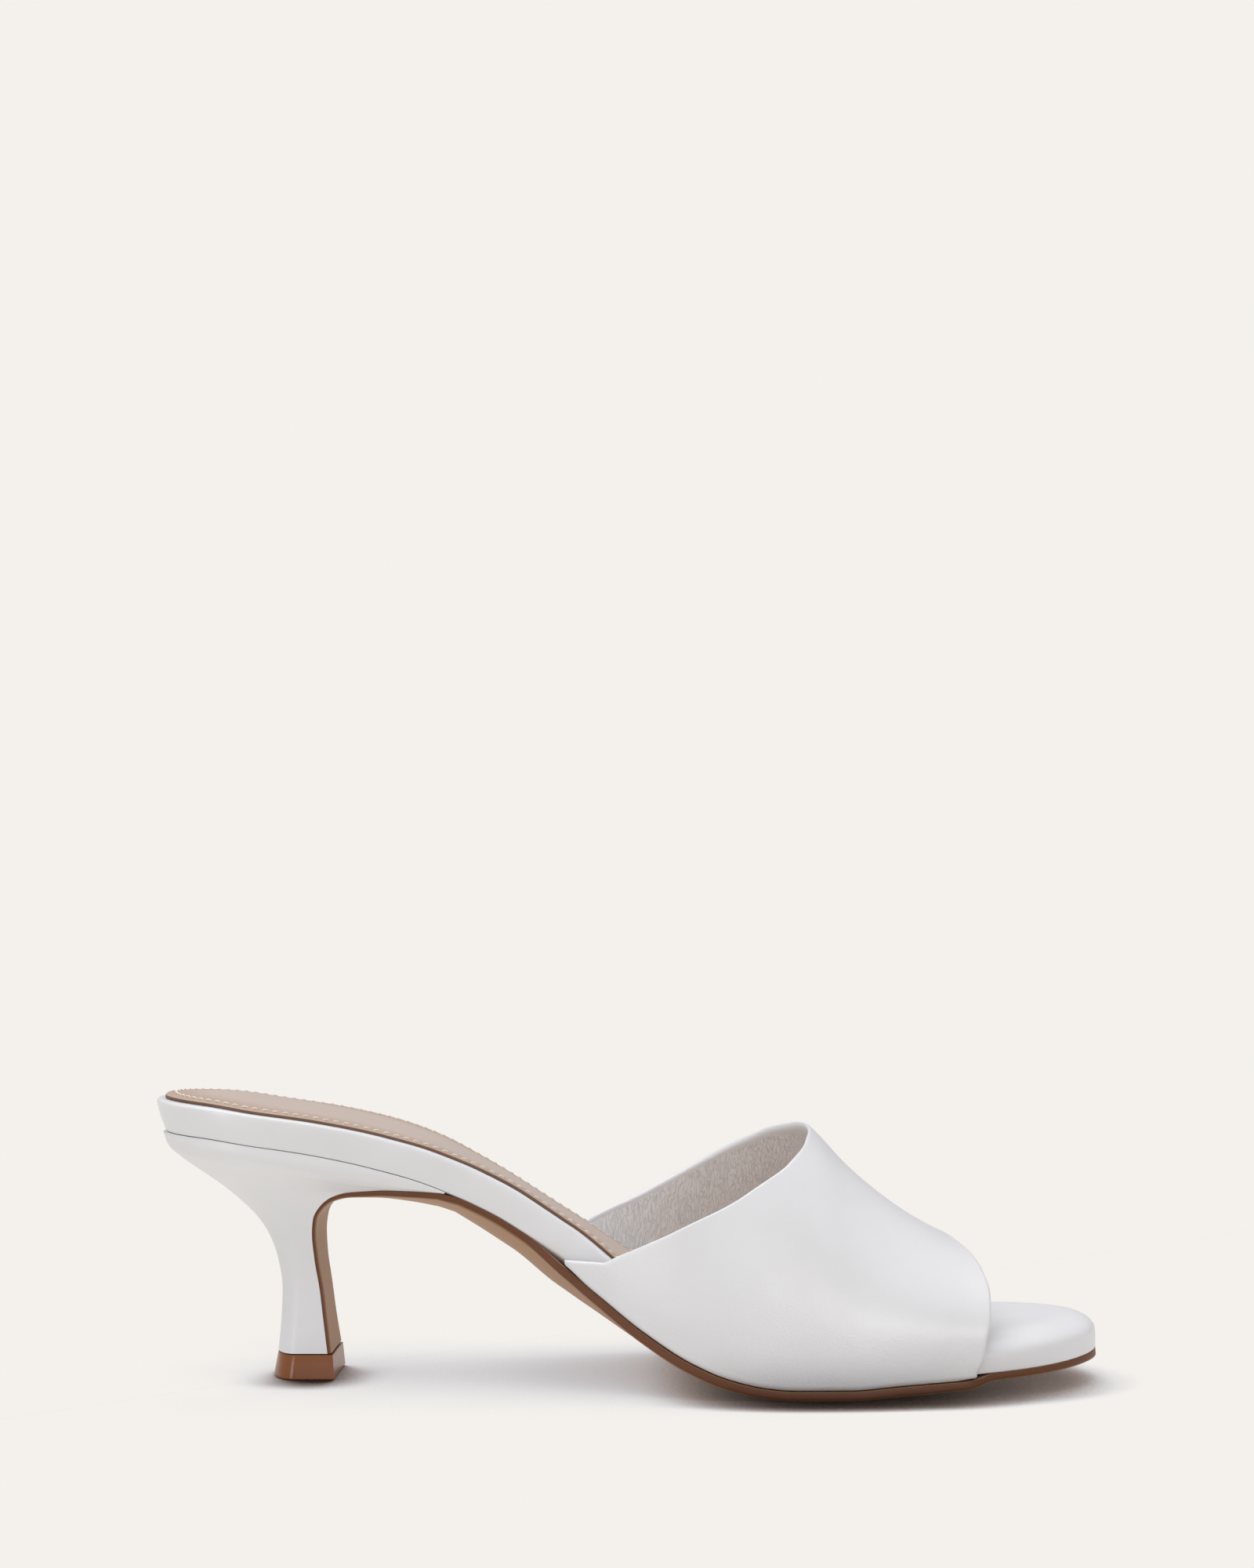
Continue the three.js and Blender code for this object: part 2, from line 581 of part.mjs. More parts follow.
const shoe = new THREE.Group();
shoe.add(
  upper(leather(0xf1f0ee, 0.45)),
  footbed(leather(0xf1f0ee, 0.45)),
  sock(leather(0xb9a08f, 0.55)),
  outsole(leather(0x8a5a3c, 0.5)),
  heel(leather(0xf1f0ee, 0.45)),
  topPiece(leather(0x9a5f35, 0.3)),
);

const tip = heelSection(heelEnd);
shoe.position.set(-(tip.front.x + gap + flapThick + tip.back.x) / 2, 0, 0);

const model = new THREE.Group();
model.add(shoe);

export default model;
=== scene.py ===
import math

import bpy
import numpy as np
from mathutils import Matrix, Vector


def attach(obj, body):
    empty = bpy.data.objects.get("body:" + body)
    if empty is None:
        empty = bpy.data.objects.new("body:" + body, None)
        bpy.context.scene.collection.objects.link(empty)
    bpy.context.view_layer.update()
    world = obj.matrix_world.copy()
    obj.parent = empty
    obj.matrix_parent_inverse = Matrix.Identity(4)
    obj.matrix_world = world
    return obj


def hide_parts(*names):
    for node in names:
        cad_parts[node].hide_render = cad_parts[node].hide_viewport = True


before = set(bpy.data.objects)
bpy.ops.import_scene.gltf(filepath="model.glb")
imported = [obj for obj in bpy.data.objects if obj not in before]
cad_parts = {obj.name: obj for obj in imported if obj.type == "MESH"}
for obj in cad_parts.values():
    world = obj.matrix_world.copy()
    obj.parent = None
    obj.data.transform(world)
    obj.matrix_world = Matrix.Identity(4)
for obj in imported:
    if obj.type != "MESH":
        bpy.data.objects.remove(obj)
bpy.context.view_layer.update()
quarter = math.pi / 2

last = {
    "length": 230,
    "ballWidth": 72,
    "heelHeight": 60,
    "throatHeight": 60,
    "toeSpring": 4.2,
    "archLift": 5,
    "outerLift": 1.5,
    "seatRound": 24,
    "toeRound": 36,
    "toeFullness": 2.1,
    "ridgeOffset": -4,
    "flatMiddle": 0.3,
    "gap": 0.3,
}
length, gap = last["length"], last["gap"]
seamGap = 0.06  # cemented pieces stand this close together, closer than the solids

# The underside of the footbed, by share of the length. The columns are those of the solids.
footTable = {
    "along": [0.0, 0.06, 0.12, 0.18, 0.24, 0.28, 0.32, 0.37, 0.42, 0.47,
              0.52, 0.57, 0.61, 0.65, 0.675, 0.73, 0.78, 0.87, 0.94, 1.0],
    "rise": [1.0, 0.989, 0.957, 0.92, 0.861, 0.794, 0.697, 0.57, 0.443, 0.311,
             0.189, 0.09, 0.036, 0.007, 0, 0, 0, 0, 0, 0],
    "tip": [0, 0, 0, 0, 0, 0, 0, 0, 0, 0, 0, 0, 0, 0, 0, 0, 0.2, 0.5, 0.73, 1],
    "inner": [0.325, 0.328, 0.331, 0.328, 0.314, 0.3, 0.286, 0.281, 0.3, 0.347,
              0.411, 0.464, 0.489, 0.5, 0.5, 0.492, 0.475, 0.433, 0.41, 0.389],
    "outer": [0.325, 0.331, 0.336, 0.336, 0.331, 0.325, 0.322, 0.328, 0.35, 0.392,
              0.439, 0.481, 0.499, 0.5, 0.494, 0.476, 0.457, 0.433, 0.424, 0.412],
    "lift": [0, 0, 0, 0, 0.05, 0.28, 0.63, 0.87, 0.86, 0.64, 0.36, 0.14, 0.04, 0, 0, 0, 0, 0, 0, 0],
    "thick": [1, 0.95, 0.92, 0.93, 0.95, 0.96, 0.96, 0.93, 0.9, 0.9,
              0.92, 0.95, 0.97, 1, 1, 1, 1.03, 1.08, 1.1, 1.1],
    "lean": [1, 1, 1, 1, 1, 1, 1, 0.8, 0.1, -0.4, -0.5, -0.5, -0.5, -0.5, -0.5, -0.5, -0.5, -0.2, 0, 0],
    "soft": [0, 0, 0, 0, 0, 0, 0, 0, 0, 0, 0.1, 0.2, 0.4, 0.5, 0.6, 0.7, 0.9, 1, 1, 1],
}
ridgeTable = {
    "along": [0.4, 0.5, 0.56, 0.61, 0.66, 0.7, 0.735, 0.77, 0.805, 0.84, 0.88, 0.92],
    "height": [1.667, 1.508, 1.383, 1.267, 1.133, 1.003, 0.86, 0.745, 0.653, 0.583, 0.53, 0.49],
}
# Edges of the vamp, by degrees round its section from the inner side over the ridge.
edgeTable = {
    "turn": [0, 10, 25, 40, 55, 70, 85, 95, 110, 125, 140, 155, 168, 180],
    "rear": [0.439, 0.4795, 0.5535, 0.6245, 0.6685, 0.6872, 0.6925,
             0.691, 0.679, 0.647, 0.594, 0.524, 0.456, 0.402],
    "front": [0.861, 0.868, 0.873, 0.874, 0.87, 0.863, 0.85,
              0.843, 0.839, 0.837, 0.835, 0.83, 0.826, 0.822],
}
# Sections of the heel from the seat down to the tip.
heelTable = {
    "ring": [0, 1, 2, 3, 4, 5, 6, 7, 8, 9, 10, 11],
    "frontX": [0.309, 0.278, 0.243, 0.215, 0.195, 0.181, 0.173, 0.171, 0.173, 0.178, 0.182, 0.187],
    "frontZ": [0.692, 0.716, 0.73, 0.727, 0.708, 0.665, 0.607, 0.53, 0.42, 0.285, 0.15, 0],
    "backX": [0.007, 0.012, 0.026, 0.046, 0.068, 0.089, 0.108, 0.121, 0.13, 0.134, 0.133, 0.13],
    "backZ": [1.0, 0.94, 0.883, 0.822, 0.756, 0.683, 0.602, 0.515, 0.4, 0.275, 0.145, 0],
    "cup": [0.6, 0.4, 0.22, 0.12, 0.08, 0.05, 0.02, 0, 0, 0, 0, 0],
    "breast": [0.29, 0.275, 0.24, 0.208, 0.188, 0.174, 0.161, 0.147, 0.129, 0.119, 0.124, 0.14],
    "widest": [0.33, 0.305, 0.27, 0.235, 0.208, 0.186, 0.166, 0.15, 0.131, 0.12, 0.125, 0.141],
    "round": [0.35, 0.36, 0.38, 0.42, 0.48, 0.54, 0.6, 0.62, 0.6, 0.54, 0.46, 0.4],
}


# A smooth curve through rows of a table: cubic pieces whose slope at each row is the harmonic mean
# of the rises on its two sides, so it never swings past a row. Outside the rows it runs straight on.
def curveThrough(table, column, by="along"):
    at = np.array(table[by], float)
    value = np.array(table[column], float)
    rise = np.diff(value) / np.diff(at)
    product = rise[:-1] * rise[1:]
    total = np.where(product > 0, rise[:-1] + rise[1:], 1)
    slope = np.concatenate([rise[:1], np.where(product > 0, 2 * product / total, 0), rise[-1:]])

    def curve(x):
        x = np.asarray(x, float)
        i = np.clip(np.searchsorted(at, x, side="right") - 1, 0, len(at) - 2)
        step = at[i + 1] - at[i]
        t = (x - at[i]) / step
        inside = value[i] * (1 + 2 * t) * (1 - t) ** 2 + value[i + 1] * t * t * (3 - 2 * t)
        inside = inside + step * t * (1 - t) * (slope[i] * (1 - t) - slope[i + 1] * t)
        below = value[0] + slope[0] * (x - at[0])
        above = value[-1] + slope[-1] * (x - at[-1])
        return np.where(x < at[0], below, np.where(x > at[-1], above, inside))

    return curve


def lerp(a, b, share):
    return a + (b - a) * share


# 0 below the first value, 1 above the second, with a smooth step between them.
def smooth(x, start, end):
    t = np.clip((x - start) / (end - start), 0, 1)
    return t * t * (3 - 2 * t)


footCurve = {name: curveThrough(footTable, name) for name in footTable if name != "along"}
heelCurve = {name: curveThrough(heelTable, name, "ring") for name in heelTable if name != "ring"}
ridgeCurve = curveThrough(ridgeTable, "height")
rearCurve = curveThrough(edgeTable, "rear", "turn")
frontCurve = curveThrough(edgeTable, "front", "turn")

sole = {"thick": 2.2, "waistThick": 1.8, "flapThick": 1, "proud": 0.1, "join": 0.325}
vamp = {
    "wall": 1.6,
    "marginThick": 0.7,
    "featherRadius": 1.4,
    "bellyHeight": 9,
    "bellyAngle": math.radians(12),
    "fullness": 2.15,
    "leather": 1.15,
    "liningBack": 1.1,
    "liningOverlap": 0.05,
    "reach": 5,
    "skived": 0.5,
    "skiveLength": 6,
    "turnedRear": 0.45,
    "turnedFront": 0.5,
    "rearFade": (1.6, 3.4),
    "frontFade": (1.2, 2.8),
    "flare": 0.7,
    "flareReach": 9,
    "flareTurns": (92, 125, 140, 165),
    "cornerCut": 0.6,
    "cornerTurn": 4,
    "edgeSteps": 6,
    "rows": 110,
    "rowBias": 1.15,
}
ballDrop = sole["thick"] + vamp["marginThick"] + 2 * gap


def footShare(name, x):
    return footCurve[name](x / length)


# Height of the underside's middle line: the rise to the heel and the spring of the toe.
def bed(x):
    rise = lerp(ballDrop, last["heelHeight"], footShare("rise", x))
    return rise + last["toeSpring"] * footShare("tip", x)


def ridge(x):
    return last["throatHeight"] * ridgeCurve(x / length)


# The direction square to a height line in side view: minus its slope and one, over their size.
def squareTo(height, x):
    slope = height(x + 0.5) - height(x - 0.5)
    size = np.hypot(slope, 1)
    return -slope / size, 1 / size


def halfAt(x, side):
    return last["ballWidth"] * np.where(side < 0, footShare("inner", x), footShare("outer", x))


# The underside curls up towards its edges with the square of the way out from its flat middle.
def curl(across):
    flat = last["flatMiddle"]
    return np.maximum(0, (np.abs(across) - flat) / (1 - flat)) ** 2


def fullLift(side):
    return np.where(side < 0, last["archLift"], last["outerLift"])


def underLift(x, y):
    across = np.clip(y / halfAt(x, y), -1, 1)
    return fullLift(y) * footShare("lift", x) * curl(across)


def topLift(x, y):
    across = np.clip(y / halfAt(x, y), -1, 1)
    return footShare("lift", x) * lerp(last["archLift"], last["outerLift"], (1 + across) / 2)


# A point at a level above the underside, square to it in side view.
def raised(x, y, level, lift=underLift):
    squareX, squareZ = squareTo(bed, x)
    rise = level + lift(x, y)
    return np.stack(np.broadcast_arrays(x + squareX * rise, y, bed(x) + squareZ * rise), -1)


# Stations along an outline: a round seat, a long middle and a round toe. For each one it gives the
# weights of the back and front ends and a shift, which add up to its x, and how much of the width is left.
def stations(counts, toeLength=None):
    toeLength = last["toeRound"] if toeLength is None else toeLength
    seatLength = last["seatRound"]
    power = 2 / last["toeFullness"]
    seatSteps, middleSteps, toeSteps = counts
    seat = np.arange(seatSteps) / max(1, seatSteps) * quarter
    middle = np.arange(middleSteps) / middleSteps
    toe = (1 - np.arange(toeSteps + 1) / toeSteps) * quarter
    return {
        "back": np.concatenate([1 + 0 * seat, 1 - middle, 0 * toe])[:, None],
        "front": np.concatenate([0 * seat, middle, 1 + 0 * toe])[:, None],
        "shift": np.concatenate([
            seatLength * (1 - np.cos(seat)),
            (1 - middle) * seatLength - middle * toeLength,
            -toeLength * (1 - np.abs(np.cos(toe)) ** power),
        ])[:, None],
        "keep": np.concatenate([np.sin(seat), 1 + 0 * middle, np.abs(np.sin(toe)) ** power])[:, None],
    }


def between(station, back, front):
    return station["back"] * back + station["front"] * front + station["shift"]


# Makes a piece from loops of equal length, in millimetres: faces between neighbouring loops, and
# the two end loops folded onto themselves. Equal points are merged. Values are kept at its points.
def skin(name, loops, values=None, sharp=40):
    rows, count = loops.shape[:2]
    i, j = np.meshgrid(np.arange(rows - 1), np.arange(count), indexing="ij")
    corner = i * count + j
    beside = i * count + (j + 1) % count
    a = np.arange((count - 1) // 2)
    fold = np.stack([a, a + 1, count - 2 - a, count - 1 - a], -1)
    quads = np.concatenate([
        np.stack([corner, beside, beside + count, corner + count], -1).reshape(-1, 4),
        fold[:, ::-1],
        fold + (rows - 1) * count,
    ])
    points = (loops - origin).reshape(-1, 3)
    keys = np.round(points / 0.002).astype(np.int64)
    _, first, same = np.unique(keys, axis=0, return_index=True, return_inverse=True)
    kept = {}
    for key, value in (values or {}).items():
        kept[key] = np.broadcast_to(value, (rows, count)).ravel()[first]
    return meshFrom(name, points[first] * 0.001, same.reshape(-1)[quads], kept, sharp)


# Puts points in metres and four-sided faces into a mesh, with its faces turned outwards. A face with
# two equal corners becomes a triangle, and one with fewer than three corners is dropped.
def meshFrom(name, points, quads, values, sharp=40):
    same = quads == np.roll(quads, -1, axis=1)
    quads, same = quads[(~same).sum(1) > 2], same[(~same).sum(1) > 2]
    sizes = (~same).sum(1)
    corners = quads[~same]
    ends = np.cumsum(sizes)
    starts = ends - sizes
    a, b, c = (points[corners[starts + k]] for k in range(3))
    d = points[corners[ends - 1]]
    volume = (a * np.cross(b, c)).sum() + (a * np.cross(c, d)).sum()
    if volume < 0:
        owner = np.repeat(np.arange(len(sizes)), sizes)
        corners = corners[starts[owner] + ends[owner] - 1 - np.arange(len(corners))]
    mesh = bpy.data.meshes.new(name)
    mesh.vertices.add(len(points))
    mesh.vertices.foreach_set("co", points.astype(np.float32).ravel())
    mesh.loops.add(len(corners))
    mesh.loops.foreach_set("vertex_index", corners.astype(np.int32))
    mesh.polygons.add(len(sizes))
    mesh.polygons.foreach_set("loop_start", starts.astype(np.int32))
    mesh.update(calc_edges=True)
    for key, value in values.items():
        mesh.attributes.new(key, "FLOAT", "POINT").data.foreach_set("value", value.astype(np.float32))
    mesh.validate()
    mesh.polygons.foreach_set("use_smooth", np.ones(len(mesh.polygons), bool))
    mesh.set_sharp_from_angle(angle=math.radians(sharp))
    piece = bpy.data.objects.new(name, mesh)
    bpy.context.scene.collection.objects.link(piece)
    return piece


# Settles a finished piece: its body, the solid that it stands for and the finish that it takes.
def settle(piece, look, node=None):
    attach(piece, "root")
    if node:
        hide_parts(node)
    piece.data.materials.append(look)
    print(piece.name, len(piece.data.polygons), "faces")


# A number on its way between the nodes of one material. Each operator adds a Math node there.
class Wire:
    def __init__(self, tree, socket):
        self.tree = tree
        self.socket = socket

    def math(self, operation, *values):
        node = self.tree.nodes.new("ShaderNodeMath")
        node.operation = operation
        for place, value in zip(node.inputs, values):
            plug(self.tree, place, value)
        return Wire(self.tree, node.outputs[0])

    def __add__(self, other):
        return self.math("ADD", self, other)

    def __sub__(self, other):
        return self.math("SUBTRACT", self, other)

    def __rsub__(self, other):
        return self.math("SUBTRACT", other, self)

    def __mul__(self, other):
        return self.math("MULTIPLY", self, other)

    __radd__ = __add__
    __rmul__ = __mul__


# Gives a socket its value, or links what leads to it.
def plug(tree, place, value):
    if isinstance(value, Wire):
        tree.links.new(value.socket, place)
    elif isinstance(value, bpy.types.NodeSocket):
        tree.links.new(value, place)
    else:
        place.default_value = value


# A material under construction round its one shader.
class Look:
    def __init__(self, name, constants):
        self.material = bpy.data.materials.new(name)
        self.material.use_nodes = True
        self.tree = self.material.node_tree
        self.shader = self.tree.nodes["Principled BSDF"]
        for key, value in constants.items():
            self.shader.inputs[key].default_value = value
        self.at = self.add("ShaderNodeTexCoord").outputs["Object"]

    # Any node: its settings come first, ramp stops among them, then its sockets.
    def add(self, kind, settings=None, sockets=None):
        node = self.tree.nodes.new(kind)
        for key, value in (settings or {}).items():
            if key == "stops":
                ramp = node.color_ramp.elements
                for spot, (place, shade) in enumerate(value):
                    stop = ramp[spot] if spot < 2 else ramp.new(place)
                    stop.position, stop.color = place, tint(shade)
            else:
                setattr(node, key, value)
        for key, value in (sockets or {}).items():
            plug(self.tree, node.inputs[key], value)
        return node

    # Noise from 0 to 1 with features of one size in millimetres, after an optional stretch of space.
    def noise(self, size, detail=2.0, rough=0.5, stretch=(1, 1, 1), turn=(0, 0, 0), warp=0.0):
        at = self.add("ShaderNodeMapping", None, {"Vector": self.at, "Scale": stretch, "Rotation": turn})
        sockets = {"Vector": at.outputs[0], "Scale": 1000 / size, "Detail": detail, "Roughness": rough,
                   "Distortion": warp}
        return Wire(self.tree, self.add("ShaderNodeTexNoise", None, sockets).outputs["Fac"])

    # Cells of one size in millimetres: the distance from a cell's middle, smoothed.
    def cells(self, size, soft):
        sockets = {"Vector": self.at, "Scale": 1000 / size, "Smoothness": soft}
        node = self.add("ShaderNodeTexVoronoi", {"feature": "SMOOTH_F1"}, sockets)
        return Wire(self.tree, node.outputs["Distance"])

    # A value kept at the piece's points.
    def kept(self, name):
        return Wire(self.tree, self.add("ShaderNodeAttribute", {"attribute_name": name}).outputs["Fac"])

    # 0 below the first value and 1 above the second, in a smooth step.
    def step(self, value, start, end):
        settings = {"interpolation_type": "SMOOTHSTEP"}
        sockets = {"Value": value, "From Min": start, "From Max": end}
        return Wire(self.tree, self.add("ShaderNodeMapRange", settings, sockets).outputs[0])

    def blend(self, a, b, share):
        sockets = {0: share, 6: tint(a), 7: tint(b)}
        return self.add("ShaderNodeMix", {"data_type": "RGBA"}, sockets).outputs[2]

    # Heights in millimetres become the bump of the shader.
    def relief(self, height):
        sockets = {"Height": height, "Distance": 0.001, "Strength": 1.0, "Filter Width": 0.1}
        plug(self.tree, self.shader.inputs["Normal"], self.add("ShaderNodeBump", None, sockets).outputs[0])

    def paint(self, **parts):
        names = {"color": "Base Color", "rough": "Roughness"}
        for key, value in parts.items():
            plug(self.tree, self.shader.inputs[names[key]], value)


def tint(color):
    if isinstance(color, float):
        return (color, color, color, 1)
    return (*color, 1) if isinstance(color, tuple) and len(color) == 3 else color


# Linear colours of the finishes.
shades = {
    "white": (0.80, 0.797, 0.806),
    "whiteDeep": (0.77, 0.763, 0.768),
    "lining": (0.87, 0.845, 0.82),
    # The lining's whiter rear part: partly a cleaner tint, partly painted light where light falls in
    # through the opening.
    "liningCleanAndLit": (0.95, 0.95, 0.945),
    "liningDeep": (0.77, 0.735, 0.705),
    "sock": (0.53, 0.39, 0.3),
    "sockDeep": (0.47, 0.335, 0.245),
    # Painted sheen: the paler tan of the sock's middle.
    "sockPaintedSheen": (0.6, 0.49, 0.425),
    "cut": (0.15, 0.075, 0.043),
    "thread": (0.88, 0.83, 0.75),
    # Painted shade in the thread's hollows.
    "threadHollowShade": (0.70, 0.63, 0.53),
    "soleUnder": (0.47, 0.295, 0.185),
    "soleDeep": (0.42, 0.25, 0.15),
    "soleEdge": (0.165, 0.062, 0.025),
    "soleEdgeDeep": (0.12, 0.044, 0.018),
    "tip": (0.275, 0.095, 0.032),
    "tipDeep": (0.235, 0.078, 0.026),
}

# Where a finish starts and ends to change: the lining's paling, partly painted light, in metres ahead of
# the origin, and the sock's painted sheen in millimetres inside its raw edge.
spans = {"liningShadedAndWorn": (0.07, 0.1), "sockPaintedSheen": (2.5, 12.0)}


# Fine-grained leather: smoothed cells about half a millimetre wide plus a finer noise make its
# pebbles, a noise of 4.5 mm its soft swells, and a slow noise of 19 mm drifts its tone and gloss.
def leatherLook(name, color, deep, rough, pebble, swell):
    it = Look(name, {"Specular IOR Level": 0.5})
    drift = it.noise(19, 3)
    grain = it.cells(0.45, 0.7) * pebble + it.noise(0.22, 2) * pebble * 0.6
    it.paint(
        color=it.blend(color, deep, it.step(drift, 0.35, 0.75)),
        rough=rough - 0.05 + drift * 0.1,
    )
    it.relief(grain + it.noise(4.5, 2, 0.45) * swell)
    return it.material


# Thin lining leather: a warped noise stretched across the foot has a crease wherever it crosses its middle
# value.
# The creases are painted darker, as shade, and lower. The rear of the lining is whiter: partly a cleaner
# tint, partly painted light.
def liningLook():
    it = Look("liningLeather", {"Specular IOR Level": 0.3})
    creases = it.noise(1.1, 4, 0.6, (1.7, 0.8, 0.4), (0, 0.3, 0), 0.3)
    lines = 1 - it.step(creases.math("ABSOLUTE", creases - 0.5), 0.0, 0.045)
    # Painted shade darkens the creases, and a slow noise varies the tone.
    creaseShadedLining = it.blend(shades["lining"], shades["liningDeep"], lines * 0.5 + it.noise(9, 2) * 0.2)
    # Towards the rear the lining turns paler and whiter by its position: partly a cleaner tint, partly
    # painted light.
    ahead = Wire(it.tree, it.add("ShaderNodeSeparateXYZ", None, {0: it.at}).outputs["X"])
    it.paint(color=it.blend(shades["liningCleanAndLit"], creaseShadedLining, it.step(ahead, *spans["liningShadedAndWorn"])), rough=0.6)
    it.relief(0.06 * (1 - lines) + it.noise(0.4, 2) * 0.03)
    return it.material


# Soft tan leather: a slow drift and fine specks of a deeper tan, paler with the distance inside its
# raw edge as a painted sheen over its middle and painted shade towards the edge, and stained dark at that
# edge. Its relief is small cells, the specks and a slow swell.
def sockLook():
    it = Look("sockLeather", {"Specular IOR Level": 0.4})
    drift = it.noise(14, 3)
    speck = it.noise(0.9, 3, 0.6)
    tan = it.blend(shades["sock"], shades["sockDeep"], drift * 0.5 + it.step(speck, 0.5, 0.7) * 0.3)
    # Painted sheen and shade: the tan grows paler from 2.5 mm to 12 mm inside the raw edge, so the middle
    # looks glossy and the edge shaded.
    tan = it.blend(tan, shades["sockPaintedSheen"], it.step(it.kept("inside"), *spans["sockPaintedSheen"]) * 0.9)
    it.paint(color=it.blend(tan, shades["cut"], it.kept("edge")), rough=0.4 + 0.12 * drift)
    it.relief(it.cells(0.7, 0.6) * 0.02 + speck * 0.012 + it.noise(5, 2) * 0.04)
    return it.material


# Twisted thread: a fine noise turned aslant paints shade into its hollows and raises its plies.
def threadLook():
    it = Look("creamThread", {"Specular IOR Level": 0.3, "Sheen Weight": 0.2})
    ply = it.noise(0.25, 1, 0.5, (1, 1, 1), (0.6, 0.4, 0.7))
    # Painted shade: the noise darkens the thread towards the deeper colour.
    it.paint(color=it.blend(shades["thread"], shades["threadHollowShade"], ply), rough=0.7)
    it.relief(ply * 0.03)
    return it.material


# Sole leather: a light underside with a noise drawn out along it as streaks, and a dark stained edge.
def outsoleLook():
    it = Look("soleLeather", {"Specular IOR Level": 0.22})
    streak = it.noise(2.2, 3, 0.6, (0.12, 1.5, 1.5))
    drift = it.noise(16, 3)
    under = it.blend(shades["soleUnder"], shades["soleDeep"], streak * 0.5 + drift * 0.4)
    rim = it.blend(shades["soleEdge"], shades["soleEdgeDeep"], it.noise(1.2, 3, 0.6, (0.3, 1, 2)))
    edge = it.kept("edge")
    it.paint(color=it.blend(under, rim, edge), rough=0.5 - 0.08 * edge + 0.1 * drift)
    it.relief(streak * 0.02 + it.noise(0.5, 3) * 0.015)
    return it.material


# Moulded plastic: a slow drift between two browns, and a gloss that varies a little.
def tipLook():
    it = Look("tipPlastic", {"Specular IOR Level": 0.3})
    drift = it.noise(3, 2)
    it.paint(color=it.blend(shades["tip"], shades["tipDeep"], drift), rough=0.24 + 0.08 * it.noise(1.2, 3))
    it.relief(it.noise(1.5, 2) * 0.01)
    return it.material


def makeLooks():
    white, deep = shades["white"], shades["whiteDeep"]
    return {
        "vamp": leatherLook("vampWhite", white, deep, rough=0.33, pebble=0.03, swell=0.05),
        "rim": leatherLook("rimWhite", white, deep, rough=0.32, pebble=0.01, swell=0.03),
        "cover": leatherLook("coverWhite", white, deep, rough=0.42, pebble=0.01, swell=0.02),
        "lining": liningLook(),
        "sock": sockLook(),
        "thread": threadLook(),
        "outsole": outsoleLook(),
        "tip": tipLook(),
    }


# The studio. Lengths in metres. The floor and the world behind it have one tone, so no horizon shows.
studio = {
    "floor": (0.905, 0.879, 0.84),
    "sky": (0.43, 0.432, 0.444),
    "shadowReach": 0.4,
    "contactReach": 0.014,
    "contactLean": (-0.2, 1, -0.18),
    "floorHalf": 60,
    "distance": 0.66,
    "height": 0.115,
    "around": math.radians(1),
    "middle": 0.115385,
    "lens": 61.776,
    "shift": 0.077,
}


# Soft lamps: broad ones from above, from the front right and from low in front, and two narrow ones
# that show only as a sheen, on the vamp's front corner and on the heel tip.
lamps = {
    "above": {"kind": "SUN", "from": (-0.22, -0.07, 1), "energy": 0.66 * math.pi, "angle": 60,
              "color": (1, 1, 1.03)},
    "frontRight": {"kind": "SUN", "from": (0.45, -0.6, 0.65), "energy": 0.03 * math.pi, "angle": 40,
                   "color": (1, 1, 1.02)},
    "low": {"kind": "SUN", "from": (0.1, -1, 0.05), "energy": 0.125 * math.pi, "angle": 30,
            "color": (1, 1, 1.02)},
    "sheen": {"kind": "AREA", "from": (0.32, -0.94, 0.08), "at": (0.14, -0.03, 0.02), "far": 0.6,
              "size": (0.26, 0.03), "energy": 0.7, "color": (1, 1, 1.03), "diffuse": False},
    "tipSheen": {"kind": "AREA", "from": (-0.58, -0.8, 0.16), "at": (0, 0, 0.004), "far": 0.5,
                 "size": (0.03, 0.1), "energy": 0.4, "color": (1, 1, 1), "diffuse": False},
}


# Ramps of the floor's shadow. wide turns the share of open sky over a point into brightness, and
# tight does so for what stands close behind the point. tones gives the colour for their product.
floorRamps = {
    "wide": [(0.0, 0.36), (0.12, 0.52), (0.42, 0.66), (0.6, 0.86), (0.72, 1.0)],
    "tight": [(0.6, 0.0), (0.7, 0.09), (0.8, 0.38), (0.9, 0.82), (0.96, 1.0)],
    "tones": [
        (0.0, (0.008, 0.005, 0.004)),
        (0.25, (0.231, 0.181, 0.159)),
        (0.5, (0.451, 0.407, 0.397)),
        (0.68, (0.617, 0.604, 0.624)),
        (0.85, (0.76, 0.745, 0.75)),
        (1.0, studio["floor"]),
    ],
}


# The floor shines by itself with the background's tone, darkened by the two ramps of its shadow.
def floorLook():
    it = Look("floorPaper", {
        "Specular IOR Level": 0.0,
        "Base Color": (0, 0, 0, 1),
        "Emission Strength": 1.0,
    })
    sky = it.add("ShaderNodeAmbientOcclusion", {"samples": 8}, {"Distance": studio["shadowReach"]})
    lean = it.add("ShaderNodeCombineXYZ", None, dict(zip("XYZ", studio["contactLean"])))
    unitLean = it.add("ShaderNodeVectorMath", {"operation": "NORMALIZE"}, {0: lean.outputs[0]})
    sockets = {"Distance": studio["contactReach"], "Normal": unitLean.outputs[0]}
    close = it.add("ShaderNodeAmbientOcclusion", {"samples": 16}, sockets)

    def ramped(name, share):
        ramp = it.add("ShaderNodeValToRGB", {"stops": floorRamps[name]}, {"Fac": share})
        return ramp.outputs[0]

    wide = Wire(it.tree, ramped("wide", sky.outputs["AO"]))
    tight = Wire(it.tree, ramped("tight", close.outputs["AO"]))
    plug(it.tree, it.shader.inputs["Emission Color"], ramped("tones", wide * tight))
    return it.material


